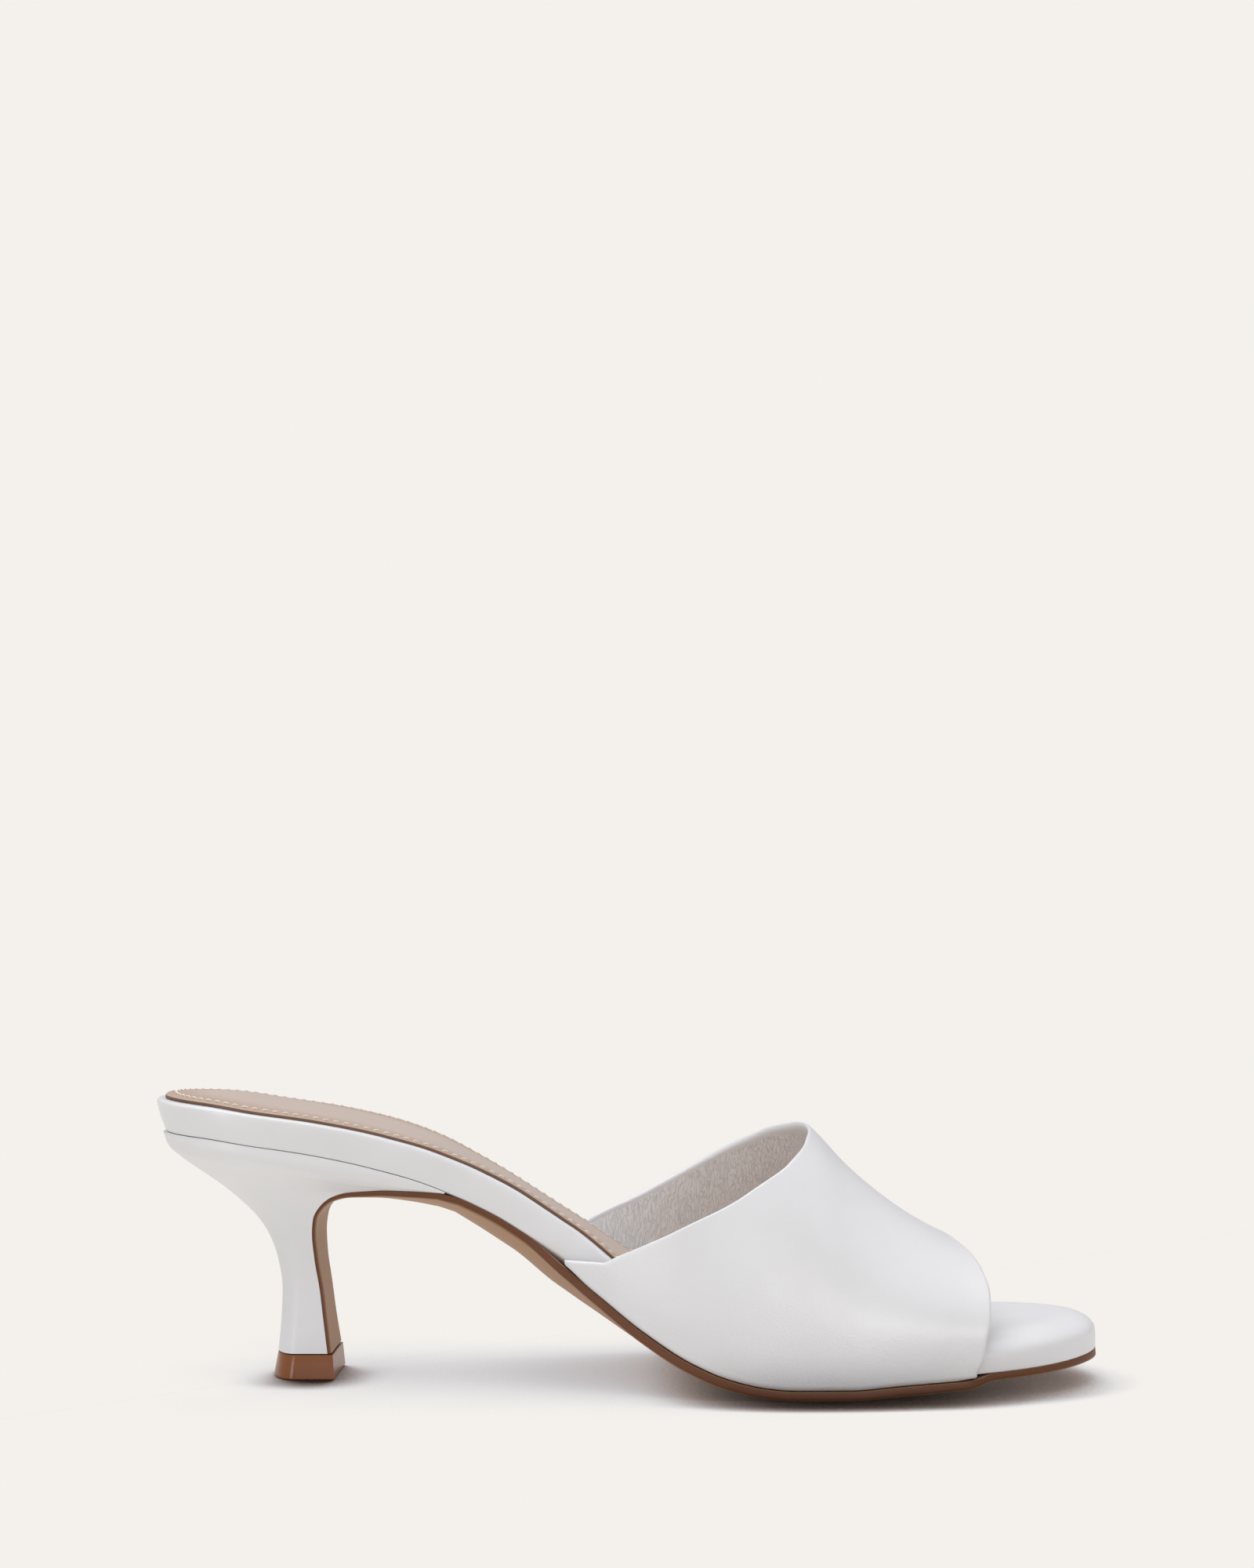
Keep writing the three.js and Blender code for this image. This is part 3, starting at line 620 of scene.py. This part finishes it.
def setTheStage():
    scene = bpy.context.scene
    scene.view_settings.view_transform = "Standard"
    corners = np.array([[-1, -1, 0], [1, -1, 0], [1, 1, 0], [-1, 1, 0]]) * float(studio["floorHalf"])
    floor = meshFrom("studioFloor", corners, np.array([[0, 1, 2, 3]]), {})
    floor.data.materials.append(floorLook())

    world = scene.world or bpy.data.worlds.new("studio")
    scene.world = world
    world.use_nodes = True
    tree = world.node_tree
    tree.nodes.clear()
    seen = tree.nodes.new("ShaderNodeLightPath").outputs["Is Camera Ray"]
    choose = tree.nodes.new("ShaderNodeMix")
    choose.data_type = "RGBA"
    glow = tree.nodes.new("ShaderNodeBackground")
    end = tree.nodes.new("ShaderNodeOutputWorld")
    plug(tree, choose.inputs[0], seen)
    plug(tree, choose.inputs[6], (*studio["sky"], 1))
    plug(tree, choose.inputs[7], (*studio["floor"], 1))
    plug(tree, glow.inputs["Color"], choose.outputs[2])
    plug(tree, end.inputs["Surface"], glow.outputs[0])

    for name, light in lamps.items():
        data = bpy.data.lights.new(name, light["kind"])
        data.energy = light["energy"]
        data.color = light["color"]
        if light["kind"] == "SUN":
            data.angle = math.radians(light["angle"])
        else:
            data.shape = "RECTANGLE"
            data.size, data.size_y = light["size"]
        lamp = bpy.data.objects.new(name, data)
        lamp.visible_diffuse = light.get("diffuse", True)
        way = Vector(light["from"]).normalized()
        lamp.location = Vector(light.get("at", (0, 0, 0))) + way * light.get("far", 1)
        lamp.rotation_euler = way.to_track_quat("Z", "Y").to_euler()
        scene.collection.objects.link(lamp)

    lens = bpy.data.cameras.new("camera")
    lens.sensor_fit = "VERTICAL"
    lens.sensor_height = 36
    lens.lens = studio["lens"]
    lens.shift_y = studio["shift"]
    lens.clip_start = 0.01
    lens.clip_end = 500
    camera = bpy.data.objects.new("camera", lens)
    far, turn = studio["distance"], studio["around"]
    camera.location = (
        studio["middle"] + far * math.sin(turn) - origin[0] * 0.001,
        -far * math.cos(turn),
        studio["height"],
    )
    camera.rotation_euler = (quarter, 0, turn)
    scene.collection.objects.link(camera)
    scene.camera = camera
    print("studio ready")


# Where the middle of the heel tip's bottom comes: the origin of the solids.
tip = {"height": 6, "flare": 1.1, "front": 0.5, "bevel": 0.5, "topRound": 0.3}
heelEnd = heelTable["ring"][-1]
tipFront = length * heelTable["frontX"][-1] + gap + sole["flapThick"]
tipBack = length * heelTable["backX"][-1]
origin = np.array([(tipFront + tipBack) / 2, 0, 0])

look = makeLooks()

# Footbed: the board wrapped in white leather, whose rim shows all round.
board = {
    "thick": 8.1,
    "toeTuck": 0.4,
    "lean": 1.2,
    "backLean": 2.8,
    "swell": 0.3,
    "rimRadius": 1,
    "toeRadius": 4.5,
    "toePull": 8,
    "lowRadius": 0.4,
    "across": 28,
    "turns": 8,
    "walls": 6,
    "counts": (28, 160, 44),
}
bedBack = float(board["backLean"] - board["thick"] * squareTo(bed, 0.0)[0])
bedFront = length - board["toeTuck"]


def thickness(x):
    return board["thick"] * footShare("thick", x)


# The rim's top edge is a quarter circle that widens to a flat quarter of an ellipse at the toe. Below
# it the wall leans in towards the underside and swells half way up with a sine. The path of a loop
# starts and ends at the middle of the underside.
def footbedLoops():
    station = stations(board["counts"])
    guess = between(station, bedBack, bedFront)
    full = thickness(guess)
    radius = lerp(board["rimRadius"], board["toeRadius"], footShare("soft", guess))
    wide = lerp(board["rimRadius"], board["toePull"], footShare("soft", guess) ** 3)
    turn = np.linspace(1, 0, board["turns"] + 1) * quarter
    wall = np.linspace(0, 1, board["walls"] + 1)[1:-1]
    low = board["lowRadius"]
    level = np.concatenate([
        full - radius * (1 - np.sin(turn)),
        lerp(full - radius, low, wall),
        low * (1 - np.sin(turn[::-1])) + 0 * full,
    ], 1)
    pull = np.concatenate([
        wide * (1 - np.cos(turn)),
        0 * (radius * wall),
        low * (1 - np.cos(turn[::-1])) + 0 * full,
    ], 1)
    up = level / full
    pull = pull - board["swell"] * np.sin(np.pi * np.clip(up, 0, 1))
    lowest = level.shape[1] - 1
    out = np.linspace(0, 1, board["across"] // 2 + 1)
    top = np.linspace(-1, 1, board["across"] + 1)
    walls = np.arange(1, lowest)
    under = np.full(len(out), lowest)
    across = np.concatenate([-out, -np.ones(len(walls)), top, np.ones(len(walls)), out[::-1]])
    path = np.concatenate([under, walls[::-1], 0 * top.astype(int), walls, under])
    level, pull, up = level[:, path], pull[:, path], up[:, path]
    x = between(station, bedBack - board["backLean"] * up + pull, bedFront - pull)
    lean = board["lean"] * footShare("lean", x) * up
    y = across * (halfAt(x, across + 0 * x) + lean - pull) * station["keep"]
    return raised(x, y, level, lambda a, b: lerp(underLift(a, b), topLift(a, b), up))


footbed = skin("footbedWrap", footbedLoops())
settle(footbed, look["rim"], "footbed")

# Sock: padded tan leather over the footbed, with a raw edge and a stitched groove inside it.
pad = {
    "thick": 0.72,
    "pad": 1.2,
    "inset": 2.2,
    "end": 8,
    "front": 0.74,
    "round": 1.6,
    "roundDeep": 0.5,
    "groove": 0.2,
    "grooveWide": 0.9,
    "seamIn": 2.5,
    "cutFade": (0.05, 0.18),
    "across": 72,
    "counts": (40, 180, 8),
}
padTable = {"along": [0.0, 0.08, 0.16, 0.24, 0.74], "pad": [1, 1, 0.5, 0.1, 0.1]}
padCurve = curveThrough(padTable, "pad")
sockBack = bedBack - board["backLean"] + pad["inset"]


def sockHalf(x, side):
    return halfAt(x, side) + board["lean"] * footShare("lean", x) - pad["inset"]


# How far a point lies inside the sock's raw edge: the way out to an ellipse round the seat, and the
# plain distance to the side further on.
def fromEdge(x, y):
    half = sockHalf(x, y)
    u = np.clip(1 - (x - sockBack) / last["seatRound"], 0, 1)
    v = np.abs(y) / half
    out = np.maximum(np.hypot(u, v), 0.001)
    slope = np.hypot(u / last["seatRound"], v / half) / out
    return np.maximum(0, (1 - out) / np.maximum(slope, 0.001))


# Height of the sock's top over its underside: a dome across it, rounded off at the raw edge, less
# a bell-shaped groove along the seam. inside is the distance from the raw edge.
def sockLevel(x, across, keep, inside):
    dome = pad["pad"] * padCurve(x / length) * (1 - across * across) * keep
    near = np.clip(1 - inside / pad["round"], 0, 1)
    rounding = pad["roundDeep"] * (1 - np.sqrt(1 - near * near))
    groove = pad["groove"] * np.exp(-(((inside - pad["seamIn"]) / pad["grooveWide"]) ** 2))
    return thickness(x) + gap + pad["thick"] + dome - rounding - groove


def sockLoops():
    station = stations(pad["counts"], pad["end"])
    x = between(station, sockBack, pad["front"] * length)
    keep = station["keep"]
    across = np.sin(np.linspace(-1, 1, pad["across"] + 1) * quarter)
    y = across * sockHalf(x, across + 0 * x) * keep
    inside = fromEdge(x, y)
    top = raised(x, y, sockLevel(x, across, keep, inside), topLift)
    under = raised(x, y, thickness(x) + seamGap + 0 * y, topLift)
    edge = np.concatenate([1 - smooth(inside, *pad["cutFade"]), np.ones_like(inside)], 1)
    return np.concatenate([top, under[:, ::-1]], 1), edge, np.concatenate([inside, inside[:, ::-1]], 1)


loops, edge, inside = sockLoops()
sock = skin("sockPad", loops, {"edge": edge, "inside": inside}, sharp=60)
settle(sock, look["sock"], "sock")


def unit(v):
    return v / np.linalg.norm(v, axis=-1, keepdims=True)


# Short thread lengths along a line of points, each a bowed rod with tapered ends that dip into the
# leather. Each one has its own directions: ahead, to the side and up.
def threads(name, points, up, size):
    rings, sides = size["rings"], size["sides"]
    steps = np.linspace(-1, 1, rings)
    turn = np.linspace(0, 2 * np.pi, sides + 1)[:-1]
    radius = size["thick"] / 2 * np.sqrt(np.maximum(1 - steps**4, 0.02))
    rise = size["bow"] * (1 - steps * steps) - size["sink"]
    shape = np.stack([
        np.broadcast_to((steps * size["long"] / 2)[:, None], (rings, sides)),
        radius[:, None] * np.cos(turn),
        rise[:, None] + radius[:, None] * np.sin(turn),
    ], -1).reshape(-1, 3)
    walk = np.concatenate([[0], np.cumsum(np.linalg.norm(np.diff(points, axis=0), axis=1))])
    at = np.arange(size["pitch"] / 2, walk[-1], size["pitch"])

    def along(place, values):
        return np.stack([np.interp(place, walk, values[:, k]) for k in range(3)], -1)

    upAt = unit(along(at, up))
    ahead = unit(along(at + size["aimStep"], points) - along(at - size["aimStep"], points))
    ahead = unit(ahead + math.tan(size["slant"]) * unit(np.cross(upAt, ahead)))
    side = unit(np.cross(upAt, ahead))
    axes = np.stack([ahead, side, upAt], 1)
    placed = along(at, points)[:, None] + np.einsum("vk,nkc->nvc", shape, axes)
    i, j = np.meshgrid(np.arange(rings - 1), np.arange(sides), indexing="ij")
    first = i * sides + j
    beside = i * sides + (j + 1) % sides
    around = np.stack([first, beside, beside + sides, first + sides], -1).reshape(-1, 4)
    fan = np.arange(1, sides - 2, 2)
    cap = np.stack([0 * fan, fan, fan + 1, fan + 2], -1)
    quads = np.concatenate([around, cap[:, ::-1], cap + sides * (rings - 1)])
    starts = rings * sides * np.arange(len(at))[:, None, None]
    points = (placed.reshape(-1, 3) - origin) * 0.001
    return meshFrom(name, points, (quads + starts).reshape(-1, 4), {}, sharp=80)


seam = {
    "pitch": 2.45,
    "long": 1.75,
    "thick": 0.52,
    "bow": 0.28,
    "sink": 0.06,
    "slant": math.radians(11),
    "aimStep": 0.4,
    "endGap": 3,
    "rings": 9,
    "sides": 8,
}


# The seam's line runs at a fixed distance inside the raw edge, up the inner side, round the seat and
# down the outer side.
def seamLine():
    turn = np.linspace(0, quarter, 60)
    seatRound, deep = last["seatRound"], pad["seamIn"]
    seat = sockBack + seatRound - (seatRound - deep) * np.cos(turn)
    straight = np.linspace(sockBack + seatRound, pad["front"] * length - seam["endGap"], 400)[1:]
    x = np.concatenate([seat, straight])
    share = np.concatenate([np.sin(turn), 1 + 0 * straight])
    lines = []
    for side in (-1, 1):
        y = side * (sockHalf(x, side + 0 * x) - deep) * share
        left = np.clip(1 - (x - sockBack) / seatRound, 0, 1)
        keep = np.sqrt(1 - left * left)
        across = y / (sockHalf(x, side + 0 * x) * keep)
        lines.append(raised(x, y, sockLevel(x, across, keep, deep + 0 * x), topLift))
    line = np.concatenate([lines[0][::-1], lines[1][1:]])
    upX, upZ = squareTo(bed, line[:, 0])
    return line, np.stack([upX, 0 * upX, upZ], -1)


line, up = seamLine()
stitches = threads("sockStitches", line, up, seam)
settle(stitches, look["thread"])


# Upper: the vamp's leather shell, turned over at both edges, and the lining set back inside it.
def toplineX(turn):
    return length * rearCurve(turn)


def toeEdgeX(turn):
    return length * frontCurve(turn)


# Height of a point above the bottom of the upper, which rests on the outsole.
def feather(x, y, up=0):
    return bed(x) + (underLift(x, y) - gap - vamp["marginThick"] + up) / squareTo(bed, x)[1]


# The wall is a superellipse over its widest line, with the ridge of the last as its top, and leans
# in with a circle's arc below that line.
def vampPoint(x, turn, inset):
    side = np.where(turn < 90, -1, 1)
    bottom = feather(x, side * last["ballWidth"], vamp["featherRadius"])
    widest = bottom + vamp["bellyHeight"] - vamp["featherRadius"]
    angle = lerp(-vamp["bellyAngle"], np.pi + vamp["bellyAngle"], turn / 180)
    foot = halfAt(x, side + 0 * x) + gap + vamp["wall"] - inset
    half = foot / math.cos(vamp["bellyAngle"]) - side * last["ridgeOffset"]
    power = 2 / vamp["fullness"]
    y = side * half * np.abs(np.cos(angle)) ** power + last["ridgeOffset"]
    rise = np.abs(np.sin(angle)) ** power
    crest = ridge(x) - inset / squareTo(ridge, x)[1]
    low = widest + (widest - bottom) * np.sin(angle) / math.sin(vamp["bellyAngle"])
    z = np.where(np.sin(angle) < 0, low, widest + (crest - widest) * rise)
    return np.stack(np.broadcast_arrays(x, y, z), -1)


# The lasted margin: a quarter of an ellipse from the wall into the flat, then on under the footbed.
# It is thinned from below towards both of its ends.
def marginPoint(x, side, bend, reach, inner):
    turn = np.where(side < 0, 0.0, 180.0)
    wall = vampPoint(x, turn, vamp["wall"] * inner)
    fromEnds = smooth(x - toplineX(turn), 0, vamp["skiveLength"])
    fromEnds = fromEnds + smooth(toeEdgeX(turn) - x, 0, vamp["skiveLength"])
    skived = vamp["skived"] * (2 - fromEnds) * np.sin(bend * quarter) ** 2
    thick = lerp(skived, vamp["marginThick"], inner)
    wide = vamp["featherRadius"] - vamp["wall"] * inner
    tall = vamp["featherRadius"] - thick
    y = wall[..., 1] - side * (wide * (1 - np.cos(bend * quarter)) + reach)
    up = thick + tall * (1 - np.sin(bend * quarter))
    return np.stack([x + 0 * y, y, feather(x, y, up)], -1)


# Soft hollows and swells of the leather, a fraction of a millimetre deep, as a sum of slow waves.
def softWaves(x, turn):
    a = np.sin(x / 11 + turn / 23) * np.sin(turn / 17 + 1.3)
    b = np.sin(x / 6.5 - turn / 31 + 2.1) * np.sin(turn / 12.5 + x / 40)
    return 0.09 * a + 0.05 * b


# Rows from the topline to the toe edge. At both ends half a circle turns the wall over, so each row
# has a distance from its edge and the depths of its outer and inner skin as shares of the wall.
def edgeRows(rear, front):
    turn = np.linspace(0, quarter, vamp["edgeSteps"] + 1)
    roll = 0.5 * (1 - np.cos(turn))
    outer = 0.5 * (1 - np.sin(turn))
    share = np.linspace(0, 1, vamp["rows"] + 2)[1:-1] ** vamp["rowBias"]
    return {
        "share": np.concatenate([0 * turn, share, 1 + 0 * turn])[:, None],
        "shift": np.concatenate([rear * (roll - 0.5), 0 * share, front * (0.5 - roll[::-1])])[:, None],
        "outer": np.concatenate([outer, 0 * share, outer[::-1]])[:, None],
    }


# The leather is turned in along both edges, which makes it thicker there.
def turnedIn(x, turn):
    rear = 1 - smooth(x - toplineX(turn), *vamp["rearFade"])
    front = 1 - smooth(toeEdgeX(turn) - x, *vamp["frontFade"])
    return vamp["turnedRear"] * rear + vamp["turnedFront"] * front


# The turned topline stands out a little over the outer side.
def flare(x, turn):
    near = 1 - smooth(x - toplineX(turn), 0, vamp["flareReach"])
    start, full, fading, end = vamp["flareTurns"]
    return -vamp["flare"] * near * smooth(turn, start, full) * (1 - smooth(turn, fading, end))


# The front edge is rounded off where it meets the sole.
def cornerCut(turn):
    near = vamp["cornerTurn"]
    return vamp["cornerCut"] * (1 - smooth(turn, 0, near) + smooth(turn, 180 - near, 180))


# A shell between two depths in the wall, from topline to toe edge. back is how far its edges lie
# inside those of the leather. With turned 1 its edges are turned in and its sides run on as the
# lasted margin.
def shellLoops(wall, back, turns, depth, turned):
    rearWall = wall + vamp["turnedRear"] * turned
    frontWall = wall + vamp["turnedFront"] * turned
    row = edgeRows(rearWall, frontWall)

    def xAt(turn):
        rear = toplineX(turn) + back + rearWall / 2
        front = toeEdgeX(turn) - back - frontWall / 2 - cornerCut(turn)
        return lerp(rear, front, row["share"]) + row["shift"]

    def skinAt(deep):
        x = xAt(turns)
        wave = softWaves(x, turns) * smooth(turns, 3, 25) * smooth(-turns, -177, -155)
        thick = wall + turnedIn(x, turns) * turned
        middle = vampPoint(x, turns + 0 * x, depth + thick * deep + wave + flare(x, turns))
        if not turned:
            return middle
        parts = [middle]
        bends = np.array([0.2, 0.4, 0.6, 0.8, 1, 1, 1])
        reach = np.array([0, 0, 0, 0, 0, 0.5, 1]) * vamp["reach"]
        for side, turn in ((-1, 0.0), (1, 180.0)):
            x = xAt(turn) + 0 * bends
            sides = [marginPoint(x, side, bends, reach, inner) for inner in (0, 1)]
            share = (wall + turnedIn(x, turn)) / vamp["wall"]
            edge = lerp(*sides, (deep * np.minimum(1, share))[..., None])
            parts = [edge[:, ::-1]] + parts if side < 0 else parts + [edge]
        return np.concatenate(parts, 1)

    outer = skinAt(row["outer"])
    inner = skinAt(1 - row["outer"])
    return np.concatenate([outer, inner[:, ::-1]], 1)


turns = np.linspace(0, 180, 181)
vampShell = skin("vampLeather", shellLoops(vamp["leather"], 0, turns, 0, 1), sharp=70)
settle(vampShell, look["vamp"], "upper")

liningTurns = np.linspace(1, 179, 150)
liningDepth = vamp["leather"] - vamp["liningOverlap"]
loops = shellLoops(vamp["wall"] - liningDepth, vamp["liningBack"], liningTurns, liningDepth, 0)
lining = skin("vampLining", loops, sharp=70)
settle(lining, look["lining"])


# Outsole: a thin sheet from the toe to the heel's wedge, then round the breast and down the heel.
outsoleSize = {
    "across": 40,
    "round": 4,
    "topRound": 0.2,
    "bevel": 0.8,
    "counts": (0, 170, 44),
    "ringStep": 0.1,
    "flapGap": 0.01,
    "rearFade": (-12.5, -0.5),
    "frontFade": (-3, 4.5),
}


# How much of the lasted margin lies between footbed and outsole: it fades behind the topline and
# ahead of the toe edge, and blends from one side of the foot to the other across the flat middle.
def marginAt(x, across):
    parts = []
    for turn in (0.0, 180.0):
        rear = smooth(x - toplineX(turn), *outsoleSize["rearFade"])
        front = smooth(x - toeEdgeX(turn), *outsoleSize["frontFade"])
        parts.append(rear * (1 - front))
    return lerp(parts[0], parts[1], smooth(across, -last["flatMiddle"], last["flatMiddle"]))


def heelZ(rise):
    return lerp(tip["height"] + gap, last["heelHeight"], rise)


def heelFront(ring):
    return length * heelCurve["frontX"](ring), heelZ(heelCurve["frontZ"](ring))


# Sections of the heel in even steps, from just under the seat to the tip.
def heelRings(step):
    return np.minimum(np.arange(step, heelEnd + 0.01, step), heelEnd)[:, None]


# Direction out of the breast into the heel, square to the breast line in side view.
def breastNormal(ring):
    ax, az = heelFront(np.maximum(0, ring - 0.2))
    bx, bz = heelFront(np.minimum(heelEnd, ring + 0.2))
    size = np.hypot(bx - ax, bz - az)
    return (bz - az) / size, -(bx - ax) / size


# The edge of the sheet is a small round above and a bevel below. down is the depth below the top
# face and pull the distance in from the widest line.
def sheetPath(thick):
    across = np.sin(np.linspace(-1, 1, outsoleSize["across"] + 1) * quarter)
    turn = np.linspace(0, quarter, outsoleSize["round"] + 1)[1:]
    bevel = outsoleSize["bevel"]
    topRound = outsoleSize["topRound"]
    roundDown = topRound * (1 - np.cos(turn))
    roundPull = topRound * (1 - np.sin(turn))
    lowDown = thick - bevel * (1 - np.sin(turn - turn[0]))
    lowPull = bevel * (1 - np.cos(turn - turn[0]))
    ones = np.ones(len(turn))
    stain = np.array([1, 1, 0.6, 0.1])
    return {
        "across": np.concatenate([across, ones, ones, across[::-1], -ones, -ones]),
        "down": np.concatenate([0 * across + 0 * thick, roundDown + 0 * thick, lowDown, thick + 0 * across,
                                lowDown[:, ::-1], roundDown[::-1] + 0 * thick], 1),
        "pull": np.concatenate([topRound + 0 * across, roundPull, lowPull, bevel + 0 * across,
                                lowPull[::-1], roundPull[::-1]]),
        "edge": np.concatenate([0 * across, ones, stain, 0 * across, stain[::-1], ones]),
    }


def outsoleLoops():
    station = stations(outsoleSize["counts"])
    x = between(station, sole["join"] * length - last["seatRound"], bedFront)[::-1]
    keep = station["keep"][::-1]
    path = sheetPath(lerp(sole["waistThick"], sole["thick"], marginAt(x, 0)))
    across = path["across"]
    proud = lerp(sole["proud"], gap + vamp["wall"], marginAt(x, np.sign(across)))
    half = (halfAt(x, across + 0 * x) + proud) * keep
    y = across * np.maximum(0, half - path["pull"] * np.minimum(1, 2 * keep))
    level = -seamGap - (vamp["marginThick"] + 2 * (gap - seamGap)) * marginAt(x, across) - path["down"]
    flat = raised(x, y, level)
    ring = heelRings(outsoleSize["ringStep"])
    path = sheetPath(lerp(sole["waistThick"], sole["flapThick"], smooth(ring, 0, heelEnd / 2)))
    fx, fz = heelFront(ring)
    nx, nz = breastNormal(ring)
    rise = heelCurve["cup"](ring) * fullLift(across) * curl(across) - outsoleSize["flapGap"] - path["down"]
    y = across * (last["ballWidth"] * heelCurve["breast"](ring) - path["pull"])
    flap = np.stack([fx + nx * rise, y, fz + nz * rise], -1)
    loops = np.concatenate([flat, flap])
    return loops, np.broadcast_to(path["edge"], loops.shape[:2])


loops, edge = outsoleLoops()
loops, edge = (np.roll(values, outsoleSize["round"], axis=1) for values in (loops, edge))
outsole = skin("outsoleSheet", loops, {"edge": edge}, sharp=60)
settle(outsole, look["outsole"], "outsole")

# Heel: the flared block in its white cover.
heelSize = {
    "edge": 0.4,
    "seatGap": 0.1,
    "seatHalf": 0.3,
    "shares": 44,
    "ringStep": 0.1,
    "proud": 0.3,
    "across": 24,
}
heelShares = np.sin(np.linspace(0, 1, heelSize["shares"] + 1) * quarter) ** 1.1
breastAcross = np.linspace(-1, 1, heelSize["across"] + 1)[1:-1]


# Half width of a section: it swells from the breast to the middle and ends in part of an ellipse.
def heelHalf(ring, u):
    breast, widest, roundOff = (heelCurve[name](ring) for name in ("breast", "widest", "round"))
    swell = last["ballWidth"] * lerp(breast, widest, smooth(u, 0, 0.5))
    cap = np.maximum(0, (u - (1 - roundOff)) / roundOff)
    return swell * np.sqrt(np.maximum(0, 1 - cap * cap))


# The seat lies just under the footbed and is rounded off towards its edge.
def seatLevel(inside):
    near = np.clip(1 - inside / heelSize["edge"], 0, 1)
    return -heelSize["seatGap"] - heelSize["edge"] * (1 - np.sqrt(1 - near * near))


def heelLoops():
    frontX, _ = heelFront(0)
    back = bedBack - heelSize["proud"]
    x = lerp(frontX, back, heelShares)
    end = np.clip((x - back) / last["seatRound"], 0, 1)
    seats = []
    drawn = np.array([0, 0.2, 0.4, 0.6, 0.8, 0.9, 0.965, 0.98, 0.99, 0.996, 1])[:, None]
    for side in (-1, 1):
        half = (halfAt(x, side + 0 * x) + heelSize["proud"] / 2) * np.sqrt(1 - (1 - end) ** 2)
        seats.append(raised(x + 0 * drawn, side * half * drawn, seatLevel((1 - drawn) * half)))
    y = breastAcross * halfAt(frontX + 0 * breastAcross, breastAcross) * drawn
    halfSeat = last["ballWidth"] * heelSize["seatHalf"]
    front = raised(frontX + 0 * y, y, seatLevel((1 - drawn) * halfSeat + 0 * y))
    seat = np.concatenate([seats[0][:, ::-1], front, seats[1]], 1)
    ring = heelRings(heelSize["ringStep"])
    fx, fz = heelFront(ring)
    bx, bz = length * heelCurve["backX"](ring), heelZ(heelCurve["backZ"](ring))
    nx, nz = breastNormal(ring)
    ones = np.ones(len(heelShares))
    u = np.concatenate([heelShares[::-1], 0 * breastAcross, heelShares])
    side = np.concatenate([-ones, breastAcross, ones])
    curled = heelCurve["cup"](ring) * fullLift(side) * curl(side) * (1 - u) ** 2
    half = side * np.where(u > 0, heelHalf(ring, u), last["ballWidth"] * heelCurve["breast"](ring))
    rings = np.stack([lerp(fx, bx, u) + nx * curled, half, lerp(fz, bz, u) + nz * curled], -1)
    return np.concatenate([seat, rings])


heel = skin("heelBlock", heelLoops(), sharp=50)
settle(heel, look["cover"], "heel")


# Heel tip: the heel's lowest section, flared to the floor, with rounded edges above and below.
def tipLoops():
    turn = np.linspace(0, quarter, 6)
    high = tip["height"] - tip["topRound"] * (1 - np.sin(turn))[::-1]
    highPull = tip["topRound"] * (1 - np.cos(turn))[::-1]
    low = tip["bevel"] * (1 - np.sin(turn))
    lowPull = tip["bevel"] * (1 - np.cos(turn))
    z = np.concatenate([high, [tip["height"] * 0.6, tip["height"] * 0.3], low])[:, None]
    pull = np.concatenate([highPull, [0, 0], lowPull])[:, None]
    grown = 1 - z / tip["height"]
    front = tipFront + tip["front"] * grown - pull
    back = tipBack - tip["flare"] * grown + pull
    widest = last["ballWidth"] * heelTable["widest"][-1]
    loops = []
    for side in (-1, 1):
        half = heelHalf(heelEnd, heelShares) * (1 + (tip["flare"] * grown - pull) / widest)
        loops.append(np.stack(np.broadcast_arrays(lerp(front, back, heelShares), side * half, z), -1))
    return np.concatenate([loops[0][:, ::-1], loops[1]], 1)


topPiece = skin("heelTip", tipLoops(), sharp=50)
settle(topPiece, look["tip"], "top_piece")

setTheStage()
